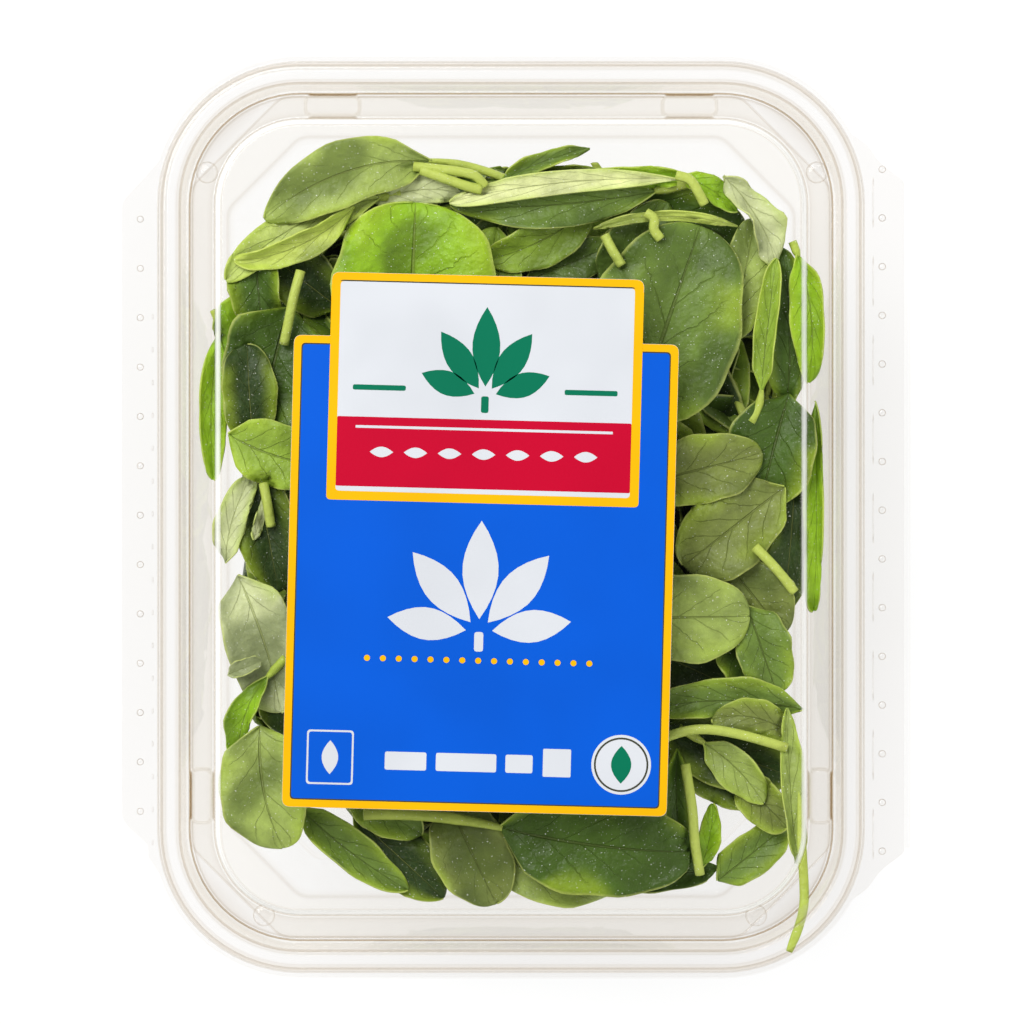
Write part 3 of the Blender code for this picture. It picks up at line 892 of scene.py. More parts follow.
@dataclass
class Tray:
    """The clear tray: flange with tabs, raised rim, ledge, drafted walls with cut corners, and a foot."""

    gauge: Gauge
    ring: RingShape = field(default_factory=RingShape)
    sheet: float = 0.5
    gap: float = 0.3
    flange_top: float = 68.0
    ledge_top: float = 62.5
    half_width: float = 84.7
    half_length: float = 111.4
    cut: float = 23.8
    cut_softness: float = 6.0
    draft: float = 5.4
    base_rounding: float = 2.5
    foot_width: float = 9.0
    foot_height: float = 1.5
    latch_edge: tuple[Point, ...] = (
        (-99.5, 122.3), (-102.3, 119.6), (-102.3, 109.5), (-95.3, 104.0), (-95.3, 96.6), (-103.3, 88.9),
        (-103.3, -80.4), (-96.0, -86.8), (-96.0, -101.1), (-103.5, -108.5), (-103.5, -117.7),
        (-100.8, -122.3),
    )

    def body_corner(self, inset: float) -> Outline:
        """Return a corner of the tray's body, cut off at 45 degrees, moved inwards by an inset.

        Args:
            inset: how far inside the mouth it runs, in millimetres.

        Returns:
            Its points, from the +x side to the +y end.
        """
        cut = self.cut - inset * (2 - math.sqrt(2))
        soft = self.cut_softness
        bend = soft * math.tan(math.pi / 8)
        half_width = self.half_width - inset
        half_length = self.half_length - inset
        steps = (self.ring.corner_steps - 2) // 2
        near = arc((half_width - soft, half_length - cut - bend), soft, 0, 45, steps)
        far = arc((half_width - cut - bend, half_length - soft), soft, 45, 90, steps)
        middle = ((near[-1][0] + far[0][0]) / 2, (near[-1][1] + far[0][1]) / 2)
        return near + [middle] + far

    def edge(self) -> Outline:
        """Return the flange's outer edge, with eased tab corners.

        Returns:
            The closed edge, anticlockwise.
        """
        grow = self.ring.edge_margin
        corner = arc(
            (self.ring.half_width - self.ring.radius, self.ring.edge_half_length - self.ring.radius - grow),
            self.ring.radius + grow, 0, 90, self.ring.corner_steps,
        )
        kept = [point for point in corner if point[1] > self.ring.strip_start]
        lower = [(x, -y) for x, y in reversed(kept)]
        whole = lower + self.ring.hinge_strip() + kept + list(self.latch_edge)
        straight = {*self.ring.hinge_strip(), *self.latch_edge}
        return eased(whole, [EASED_CORNER if point in straight else 0 for point in whole], 3, closed=True)

    def build(self) -> list[Piece]:
        """Build the tray's sheet, riding on the tub.

        Returns:
            The one piece, which stands for the CAD tub.
        """
        outer = self.sheet + self.gap
        inner = self.ring.band - 0.2
        rim_top = self.gauge.rim_top
        # The last value of each corner paints a faint brown shade line along that bend.
        ring_bands = bent(
            [
                (outer - 0.5, self.flange_top, 0, 0), (outer, self.flange_top, 0.3, 0.1),
                (outer + 0.9, rim_top, 1.3, 0.16),
                (inner - 1.6, rim_top, 1.3, 0.16), (inner, self.ledge_top, 0, 0.1),
            ],
            4,
        )
        foot = self.draft + self.base_rounding
        body_bands = bent(
            [
                (-1.6, self.ledge_top, 0, 0), (0, self.ledge_top, 1.2, 0.30),
                (self.draft + 0.6, self.sheet, self.base_rounding, 0.12),
                (foot + self.foot_width, self.sheet, 0.5, 0.05),
                (foot + self.foot_width + self.foot_height / 2, self.sheet + self.foot_height, 0.5, 0.05),
                (foot + self.foot_width + 4, self.sheet + self.foot_height, 0, 0),
            ],
            4,
        )
        outlines = []
        for corner, bands in ((self.ring.corner, ring_bands), (self.body_corner, body_bands)):
            for inset, z, mark in bands:
                outlines.append([(x, y, z, mark) for x, y in mirrored(corner(inset))])
        sheet = FormedSheet("tray_sheet", self.gauge, self.edge(), self.flange_top, outlines, self.sheet)
        piece = sheet.build()
        piece.visible_shadow = False
        piece.visible_diffuse = False
        piece.data.materials.append(ClearSheetFinish("clear_tray_sheet").material())
        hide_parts("tub")
        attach(piece, "tub")
        return [piece]

    def wall_inset(self, z: np.ndarray) -> np.ndarray:
        """Return how far the wall's inner face lies inside the mouth at some heights."""
        share = (self.ledge_top - z) / (self.ledge_top - self.sheet - self.base_rounding)
        return self.draft * np.clip(share, 0, 1)


@dataclass
class Mark:
    """One row of small marks that the forming tool leaves in a flange."""

    name: str
    count: int
    start: Point
    step: Point
    size: tuple[float, float, float]


@dataclass
class Lid:
    """The clear lid: flange, raised ring, plug wall, channel with lugs, raised panel, nubs and marks."""

    gauge: Gauge
    ring: RingShape = field(default_factory=RingShape)
    sheet: float = 0.5
    flange_drop: float = 6.8
    channel_drop: float = 11.3
    panel_gap: float = 0.3
    panel_inset: float = 14.8
    wall_lean: float = 0.9
    wall_gleam: float = 0.55
    lug_height: float = 4.0
    lug_draft: float = 0.9
    lug_radius: float = 2.2
    lug_flank_shade: float = 0.9
    end_lug: Point = (39.5, 55.2)
    side_lug: Point = (-81.8, -66.2)
    latch_start: float = 91.0
    latch_edge: tuple[Point, ...] = ((-102.9, 83.4), (-102.9, -79.5))
    nubs: tuple[Point, ...] = ((-80.7, 91.5), (81.2, 91.5), (-65.6, -105.8), (65.1, -105.8))
    nub_radius: float = 2.9
    nub_height: float = 0.9
    marks: tuple[Mark, ...] = (
        Mark("latch_dimples", 13, (-98.2, 78.9), (0, -13.07), (0.9, 0.9, 0.4)),
        Mark("latch_ticks", 17, (-94.9, 53.0), (0, -8.7), (0.25, 0.7, 0.3)),
        Mark("hinge_dimples", 15, (98.3, 92.1), (0, -12.9), (0.95, 0.95, 0.45)),
        Mark("tear_line", 9, (95.9, 83.3), (0, -20.9), (0.2, 6.9, 0.22)),
    )

    @property
    def flange_top(self) -> float:
        """Height of the lid's flange."""
        return self.gauge.ring_top - self.flange_drop

    @property
    def channel_top(self) -> float:
        """Height of the channel's floor between ring and panel."""
        return self.gauge.ring_top - self.channel_drop

    @property
    def panel_top(self) -> float:
        """Height of the panel, on which the label lies."""
        return self.gauge.label_low - self.panel_gap

    def lug_share_at(self, x: float, y: float) -> float:
        """Return how far up a lug a point of the channel lies, from 0 on the floor to 1 on the top.

        Args:
            x, y: the point, from the ring's middle.

        Returns:
            The share, 0 to 1.
        """
        end = self.lug_share(abs(x), self.ring.half_length - y, self.end_lug)
        side = self.lug_share(y, self.ring.half_width - abs(x), self.side_lug)
        return max(end, side)

    def lug_share(self, along: float, inset: float, span: Point) -> float:
        """Return 1 on a lug and 0 off it: a rounded box across the channel, with soft flanks.

        Args:
            along: place along the side that the lug stands on.
            inset: place inwards from the ring's outline.
            span: where the lug starts and ends along that side.

        Returns:
            The share, 0 to 1.
        """
        low, high = self.ring.band + self.wall_lean, self.panel_inset
        out_along = abs(along - (span[0] + span[1]) / 2) - (span[1] - span[0]) / 2 + self.lug_radius
        out_inset = abs(inset - (low + high) / 2) - (high - low) / 2 + self.lug_radius
        depth = self.lug_radius - math.hypot(max(out_along, 0), max(out_inset, 0))
        depth -= min(max(out_along, out_inset), 0)
        share = min(max(depth / self.lug_draft, 0.0), 1.0)
        return share * share * (3 - 2 * share)

    def stations(self, span: Point) -> list[float]:
        """Return the places along the ring where a lug's flanks and corners bend."""
        steps = (0, 0.25, 0.5, 0.75, 1.0, 1.4, 1.8, 2.4, 3.2)
        return [span[0] + step for step in steps] + [span[1] - step for step in steps]

    def edge(self) -> Outline:
        """Return the flange's outer edge: it follows the ring, with one strip on each long side.

        Returns:
            The closed edge, anticlockwise.
        """
        corner = self.ring.corner(-self.ring.lid_edge_margin)
        right = [point for point in corner if point[1] > self.ring.strip_start]
        left = [(-x, y) for x, y in reversed(corner) if y > self.latch_start]
        whole = (
            [(x, -y) for x, y in reversed(right)]
            + self.ring.hinge_strip()
            + right
            + left
            + list(self.latch_edge)
            + [(x, -y) for x, y in reversed(left)]
        )
        straight = {*self.ring.hinge_strip(), *self.latch_edge}
        return eased(whole, [EASED_CORNER if point in straight else 0 for point in whole], 3, closed=True)

    def make_sheet(self) -> Piece:
        """Make the lid's sheet.

        Returns:
            The sheet, without a finish.
        """
        top = self.gauge.ring_top
        band = self.ring.band
        channel = self.channel_top
        foot = self.panel_inset
        rise = self.panel_top - channel
        # The last value of each corner is painted: brown shade lines at the bends, a faint brown shade across
        # the channel, and below 0 a white gleam on the panel's wall.
        profile = bent(
            [
                (-0.5, self.flange_top, 0, 0), (0, self.flange_top, 0.3, 0.45),
                (self.wall_lean, top, 1.6, 0.34), (band - self.wall_lean, top, 1.2, 0.42),
                (band + self.wall_lean, channel, 1.0, 1.0), (band + self.wall_lean + 0.5, channel, 0, 0.20),
                (band + self.wall_lean + 1.1, channel, 0, 0.07),
                (band + self.wall_lean + 2, channel, 0, 0.05),
                (foot - 2.2, channel, 0, 0.05), (foot - 1.3, channel, 0, 0.07),
                (foot - 0.7, channel, 0, 0.10),
                (foot, channel, 0.5, 0.50), (foot + 0.6, channel + rise / 3, 0, -self.wall_gleam),
                (foot + 1.2, channel + rise / 1.5, 0, -self.wall_gleam),
                (foot + 1.8, self.panel_top, 0.8, 0.14),
                (foot + 6, self.panel_top, 0, 0),
            ]
        )
        end = [sign * x for sign in (-1, 1) for x in self.stations(self.end_lug)]
        side = self.stations(self.side_lug)
        outlines = []
        for inset, z, mark in profile:
            outline = []
            for x, y in mirrored(self.ring.corner(inset), end, side):
                share = self.lug_share_at(x, y) if inset > band and z < channel + self.lug_height else 0.0
                # Painted shade: a brown line along each lug's flanks.
                shown = mark if mark < 0 else max(mark, self.lug_flank_shade * share * (1 - share))
                outline.append((x, y, max(z, channel + self.lug_height * share), shown))
            outlines.append(outline)
        sheet = FormedSheet("lid_sheet", self.gauge, self.edge(), self.flange_top, outlines, self.sheet)
        return sheet.build()

    def make_dome(
        self, name: str, size: Sequence[float], rings: int, sides: int, mark: float
    ) -> bpy.types.Mesh:
        """Make a low closed dome with its base at height 0.

        Args:
            name: the mesh's name.
            size: its half sizes in x and y, and its height.
            rings: steps from its foot to its top.
            sides: steps round it.
            mark: the painted shade line round its foot.

        Returns:
            The mesh, in millimetres round its own foot.
        """
        mesh = bmesh.new()
        layer = mesh.verts.layers.float.new("sheet_bend")
        loops = []
        for i in range(rings):
            turn = math.pi / 2 * i / rings
            loop = []
            for k in range(sides):
                round_it = math.tau * k / sides
                x = size[0] * math.cos(turn) * math.cos(round_it)
                y = size[1] * math.cos(turn) * math.sin(round_it)
                vertex = mesh.verts.new((x, y, size[2] * math.sin(turn)))
                vertex[layer] = mark if i == 0 else 0.0
                loop.append(vertex)
            loops.append(loop)
        inner = [mesh.verts.new(vertex.co * 0.8) for vertex in loops[0]]
        top = mesh.verts.new((0, 0, size[2]))
        for lower, upper in zip(loops, loops[1:]):
            for k in range(sides):
                mesh.faces.new((lower[k - 1], lower[k], upper[k], upper[k - 1]))
        for k in range(sides):
            mesh.faces.new((loops[-1][k - 1], loops[-1][k], top))
            mesh.faces.new((inner[k - 1], inner[k], loops[0][k], loops[0][k - 1]))
        mesh.faces.new(list(reversed(inner)))
        data = mesh_data(mesh, name)
        data.shade_smooth()
        return data

    def mark_tree(self) -> GrowthTree:
        """Make the tree that repeats one mark along a straight row.

        Returns:
            The tree.
        """
        tree = GrowthTree(
            "row_of_marks",
            {
                "Count": "NodeSocketInt", "Start": "NodeSocketVector", "Step": "NodeSocketVector",
                "Finish": "NodeSocketMaterial",
            },
        )
        line = tree.node("GeometryNodeMeshLine", mode="OFFSET")
        tree.feed(line.inputs["Count"], tree.inputs["Count"])
        tree.feed(line.inputs["Start Location"], tree.inputs["Start"])
        tree.feed(line.inputs["Offset"], tree.inputs["Step"])
        copies = tree.node("GeometryNodeInstanceOnPoints")
        tree.feed(copies.inputs["Points"], line.outputs["Mesh"])
        tree.feed(copies.inputs["Instance"], tree.inputs["Geometry"])
        tree.end(copies.outputs["Instances"])
        return tree

    def make_marks(self, finish: Material) -> list[Piece]:
        """Make the rows of dimples and ticks and the tear line, raised from the lid's flange.

        Args:
            finish: their material.

        Returns:
            One piece for each row.
        """
        tree = self.mark_tree()
        pieces = []
        for mark in self.marks:
            sides = 16 if mark.size[0] == mark.size[1] else 8
            mesh = self.make_dome(mark.name, [s * MM for s in mark.size], 3, sides, 1.0)
            piece = new_piece(mark.name, mesh)
            start = (mark.start[0] + self.gauge.ring_x, mark.start[1], self.flange_top)
            values = {
                "Count": mark.count,
                "Start": [c * MM for c in start],
                "Step": [mark.step[0] * MM, mark.step[1] * MM, 0.0],
                "Finish": finish,
            }
            pieces.append(tree.grow(piece, values))
        return pieces

    def make_nubs(self, finish: Material) -> Piece:
        """Make the four round nubs in the channel's corners as one piece.

        Args:
            finish: their material.

        Returns:
            The piece.
        """
        mesh = bmesh.new()
        dome = self.make_dome("nub", (self.nub_radius, self.nub_radius, self.nub_height), 7, 32, 0.35)
        for x, y in self.nubs:
            before = len(mesh.verts)
            mesh.from_mesh(dome)
            mesh.verts.ensure_lookup_table()
            for vertex in mesh.verts[before:]:
                place = np.array(vertex.co) + np.array((x, y, self.channel_top))
                vertex.co = Vector(self.gauge.world(place))
        data = mesh_data(mesh, "channel_nubs")
        data.shade_smooth()
        bpy.data.meshes.remove(dome)
        return new_piece("channel_nubs", data, finish)

    def build(self) -> list[Piece]:
        """Build the lid's pieces, riding on the lid.

        Returns:
            The sheet, which stands for the CAD lid, its nubs and its rows of marks.
        """
        finish = ClearSheetFinish("clear_lid_sheet").material()
        sheet = self.make_sheet()
        sheet.data.materials.append(finish)
        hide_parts("lid")
        pieces = [sheet, self.make_nubs(finish)] + self.make_marks(finish)
        for piece in pieces:
            piece.visible_shadow = False
            piece.visible_diffuse = False
            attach(piece, "lid")
        return pieces


# --- The label ---


class Ink(Enum):
    """The label's printed colours."""

    AMBER = (230, 174, 4)
    LINE = (62, 64, 52)
    BLUE = (1, 84, 198)
    WHITE = (203, 206, 211)
    CRIMSON = (184, 1, 42)
    GREEN = (2, 108, 78)

    def finish(self) -> Material:
        """Make this ink's finish."""
        return PrintFinish(f"label_{self.name.lower()}", display_colour(*self.value)).material()


@dataclass(frozen=True)
class Plate:
    """One printed colour field of the label, as thin plates that share a level."""

    name: str
    ink: Ink
    level: int
    outlines: tuple[tuple[Point, ...], ...]


@dataclass
class Label:
    """The label: an oblong with a narrower crest, printed with plain fields and simple leaf shapes."""

    gauge: Gauge
    half_width: float = 50.9
    half_length: float = 62.4
    crest_half_width: float = 41.3
    crest_rise: float = 16.9
    corner: float = 2.2
    border: float = 2.4
    centre: Point = (-8.1, -15.5)
    turn: float = -1.5
    ink_height: float = 0.02

    def stock_outline(self, inset: float) -> Outline:
        """Return the label's outline, moved inwards by an inset.

        Args:
            inset: how far inside the edge it runs, in millimetres.

        Returns:
            The closed outline.
        """
        x = self.half_width - inset
        y = self.half_length - inset
        crest_x = self.crest_half_width - inset
        crest_y = self.half_length + self.crest_rise - inset
        points = [
            (x, -y), (x, y), (crest_x, y), (crest_x, crest_y),
            (-crest_x, crest_y), (-crest_x, y), (-x, y), (-x, -y),
        ]
        radius = max(self.corner - inset / 2, 0.8)
        return eased(points, [radius, radius, 0.3, radius, radius, 0.3, radius, radius], 5, closed=True)

    def box(self, centre: Point, half: Point, radius: float) -> tuple[Point, ...]:
        """Return a rounded box's outline.

        Args:
            centre: its middle.
            half: its half sizes.
            radius: how far along both sides its corners are rounded.

        Returns:
            Its points, anticlockwise.
        """
        x, y = half
        points = [
            (centre[0] + sx * x, centre[1] + sy * y) for sx, sy in ((1, -1), (1, 1), (-1, 1), (-1, -1))
        ]
        return tuple(eased(points, [radius] * 4, 4, closed=True))

    def leaf(self, base: Point, length: float, width: float, heading: float) -> tuple[Point, ...]:
        """Return a simple pointed leaf's outline that leaves its base at a heading in degrees.

        Args:
            base: where it starts.
            length, width: its size.
            heading: where it points, in degrees.

        Returns:
            Its points, anticlockwise.
        """
        steps = 9
        rise = [math.sin(math.pi * i / steps) ** 0.9 * width / 2 for i in range(steps + 1)]
        right = [(length * i / steps, -rise[i]) for i in range(steps + 1)]
        left = [(length * i / steps, rise[i]) for i in range(steps - 1, 0, -1)]
        turn = math.radians(heading)
        return tuple(
            (
                base[0] + x * math.cos(turn) - y * math.sin(turn),
                base[1] + x * math.sin(turn) + y * math.cos(turn),
            )
            for x, y in right + left
        )

    def disc(self, centre: Point, radius: float) -> tuple[Point, ...]:
        """Return a disc's outline."""
        return tuple(arc(centre, radius, 0, 360, 48)[:-1])

    def fan(
        self, base: Point, gap: float, sizes: Sequence[Point], headings: Sequence[float]
    ) -> tuple[tuple[Point, ...], ...]:
        """Return leaves that spread round a base, which they keep off by a gap.

        Args:
            base: the middle of the fan.
            gap: how far each leaf starts from it.
            sizes: length and width of each leaf.
            headings: where each one points, in degrees.

        Returns:
            The outline of each leaf.
        """
        leaves = []
        for (length, width), heading in zip(sizes, headings):
            turn = math.radians(heading)
            start = (base[0] + gap * math.cos(turn), base[1] + gap * math.sin(turn))
            leaves.append(self.leaf(start, length, width, heading))
        return tuple(leaves)

    def plates(self) -> list[Plate]:
        """Lay out the label's print from its stock up.

        Returns:
            Every colour field.
        """
        edge = self.border
        crest_low = 21.5
        crest_x = self.crest_half_width - edge
        crest_top = self.half_length + self.crest_rise - edge
        crest_middle = (crest_low + crest_top) / 2
        crest_half = (crest_top - crest_low) / 2
        crest_outer = (self.crest_half_width, crest_half + edge / 2)
        band_middle = 32.0
        lower_y = -49.0
        spread = (20, 55, 90, 125, 160)
        sprig_sizes = ((15, 6.4), (18, 7.0), (21, 7.4), (18, 7.0), (15, 6.4))
        fan_spread = (8, 49, 90, 131, 172)
        fan_sizes = ((21, 8.6), (24, 9.2), (26, 9.6), (24, 9.2), (21, 8.6))
        bars = ((-18.5, 5.5), (-2.5, 8), (11.5, 3.6))
        dots = tuple(self.disc((4.2 * k, -22.5), 0.8) for k in range(-7, 8))
        lozenges = tuple(self.leaf((9.0 * k - 3.1, band_middle), 6.2, 2.8, 0) for k in range(-3, 4))
        return [
            Plate("label_stock", Ink.WHITE, 0, (tuple(self.stock_outline(0)),)),
            Plate("label_border", Ink.AMBER, 1, (tuple(self.stock_outline(0.05)),)),
            Plate("label_edge_line", Ink.LINE, 2, (tuple(self.stock_outline(edge - 0.35)),)),
            Plate("label_field", Ink.BLUE, 3, (tuple(self.stock_outline(edge)),)),
            Plate(
                "label_crest_border", Ink.AMBER, 4,
                (self.box((0, crest_middle - edge / 2), crest_outer, 1.2),),
            ),
            Plate("label_crest", Ink.WHITE, 5, (self.box((0, crest_middle), (crest_x, crest_half), 1.0),)),
            Plate("label_band", Ink.CRIMSON, 6, (self.box((0, band_middle), (crest_x, 9.2), 0.4),)),
            Plate(
                "label_sprig", Ink.GREEN, 6,
                self.fan((0, 47), 3.0, sprig_sizes, spread)
                + (self.box((0, 45.2), (1.0, 2.2), 0.6), self.box((-28, 49), (7, 0.7), 0.5))
                + (self.box((28, 49), (7, 0.7), 0.5),),
            ),
            Plate("label_band_lozenges", Ink.WHITE, 7, lozenges + (self.box((0, 38.6), (34, 0.35), 0.2),)),
            Plate(
                "label_leaf_fan", Ink.WHITE, 4,
                self.fan((0, -15), 3.5, fan_sizes, fan_spread)
                + (self.box((0, -17.5), (1.2, 2.6), 0.8),),
            ),
            Plate("label_dots", Ink.AMBER, 4, dots),
            Plate("label_frame", Ink.WHITE, 4, (self.box((-38.5, lower_y), (6.2, 7.2), 1.0),)),
            Plate("label_frame_field", Ink.BLUE, 5, (self.box((-38.5, lower_y), (5.7, 6.7), 0.8),)),
            Plate("label_frame_leaf", Ink.WHITE, 6, (self.leaf((-38.5, lower_y - 4.5), 9, 4.4, 90),)),
            Plate(
                "label_bars", Ink.WHITE, 4,
                tuple(self.box((x, lower_y - 0.5), (width, 2.4), 0.6) for x, width in bars)
                + (self.box((21.5, lower_y), (3.7, 3.7), 0.4),),
            ),
            Plate("label_badge", Ink.WHITE, 4, (self.disc((38.5, lower_y), 7.9),)),
            Plate("label_badge_ring", Ink.LINE, 5, (self.disc((38.5, lower_y), 7.2),)),
            Plate("label_badge_face", Ink.WHITE, 6, (self.disc((38.5, lower_y), 6.7),)),
            Plate("label_badge_leaf", Ink.GREEN, 7, (self.leaf((38.5, lower_y - 5), 10, 5.4, 90),)),
        ]

    def make_plate(self, plate: Plate, finish: Material) -> Piece:
        """Make one colour field as closed thin plates.

        Args:
            plate: the field.
            finish: its ink.

        Returns:
            The piece.
        """
        low = self.gauge.label_top + (plate.level - 1) * self.ink_height
        high = low + self.ink_height
        if plate.level == 0:
            low, high = self.gauge.label_low, self.gauge.label_top
        turn = Matrix.Rotation(math.radians(self.turn), 2)
        mesh = bmesh.new()
        for outline in plate.outlines:
            flat = [turn @ Vector(point) + Vector(self.centre) for point in outline]
            loops = []
            for z in (low, high):
                places = [self.gauge.world(np.array((p.x, p.y, z))) for p in flat]
                loops.append([mesh.verts.new(Vector(place)) for place in places])
            mesh.faces.new(list(reversed(loops[0])))
            mesh.faces.new(loops[1])
            for i in range(len(flat)):
                mesh.faces.new((loops[0][i - 1], loops[0][i], loops[1][i], loops[1][i - 1]))
        bmesh.ops.recalc_face_normals(mesh, faces=mesh.faces)
        data = mesh_data(mesh, plate.name)
        return new_piece(plate.name, data, finish)

    def build(self) -> list[Piece]:
        """Build the label's stock and print, riding on the lid.

        Returns:
            The stock, which stands for the CAD label, and the printed fields.
        """
        finishes = {ink: ink.finish() for ink in Ink}
        pieces = [self.make_plate(plate, finishes[plate.ink]) for plate in self.plates()]
        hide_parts("label")
        for piece in pieces:
            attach(piece, "lid")
        return pieces


# --- The leaves ---


class Tone(Enum):
    """Leaf colours: display red, green and blue, and how pale the veins are."""

    FRESH = (138, 166, 58, 0.25)
    LIME = (180, 196, 92, 0.40)
    BRIGHT = (134, 174, 34, 0.35)
    PALE = (208, 214, 152, 0.40)
    SAGE = (172, 188, 100, 0.30)
    SILVER = (188, 196, 144, 0.55)
    MOSS = (148, 166, 84, 0.30)
    MID = (98, 122, 50, 0.15)
    OLIVE = (116, 128, 62, 0.20)
    DEEP = (66, 92, 28, 0.12)
    # DARK is partly a leaf's own dark green, partly painted shade for leaves that lie low between others.
    DARK = (40, 60, 22, 0.35)

    def paint(self) -> Colour:
        """Return the linear colour, with the veins' paleness as its alpha."""
        red, green, blue, paleness = self.value
        return display_colour(red, green, blue)[:3] + (paleness,)


@dataclass
class LeafCloth:
    """Points, faces and attributes of many leaves, gathered for one mesh."""

    points: list[np.ndarray] = field(default_factory=list)
    faces: list[list[int]] = field(default_factory=list)
    places: list[np.ndarray] = field(default_factory=list)
    tones: list[np.ndarray] = field(default_factory=list)
    kinds: list[np.ndarray] = field(default_factory=list)
    count: int = 0

    def add(
        self, points: np.ndarray, faces: Iterable[Sequence[int]], places: np.ndarray, tone: Tone, kind: float
    ) -> None:
        """Add one closed surface.

        Args:
            points: its points in millimetres, one to a row.
            faces: its faces as indices of those points.
            places: leaf_place of each point.
            tone: its colour.
            kind: 0 for a blade, 1 for a stem.
        """
        self.faces += [[i + self.count for i in face] for face in faces]
        self.points.append(points)
        self.places.append(places)
        self.tones.append(np.tile(np.array(tone.paint()), (len(points), 1)))
        self.kinds.append(np.full(len(points), kind))
        self.count += len(points)

    def mesh(self, name: str, shift: Callable[[np.ndarray], np.ndarray]) -> bpy.types.Mesh:
        """Make the mesh.

        Args:
            name: its name.
            shift: turns the gathered points into world metres.

        Returns:
            The mesh, smooth, with its attributes.
        """
        data = bpy.data.meshes.new(name)
        data.from_pydata(shift(np.vstack(self.points)).tolist(), [], self.faces)
        write_attribute(data, "leaf_place", "FLOAT_VECTOR", "vector", np.vstack(self.places))
        write_attribute(data, "leaf_tone", "FLOAT_COLOR", "color", np.vstack(self.tones))
        write_attribute(data, "leaf_kind", "FLOAT", "value", np.concatenate(self.kinds))
        data.shade_smooth()
        return data


def write_attribute(mesh: bpy.types.Mesh, name: str, kind: str, key: str, values: np.ndarray) -> None:
    """Write values to a point attribute of a mesh, made if it isn't there."""
    attribute = mesh.attributes.get(name) or mesh.attributes.new(name, kind, "POINT")
    attribute.data.foreach_set(key, values.astype(np.float32).ravel())


def read_points(mesh: bpy.types.Mesh) -> np.ndarray:
    """Return a mesh's points, one to a row.

    Args:
        mesh: the mesh to read.

    Returns:
        Its points as an array of three columns.
    """
    points = np.empty(3 * len(mesh.vertices), dtype=np.float32)
    mesh.vertices.foreach_get("co", points)
    return points.reshape(-1, 3).astype(float)


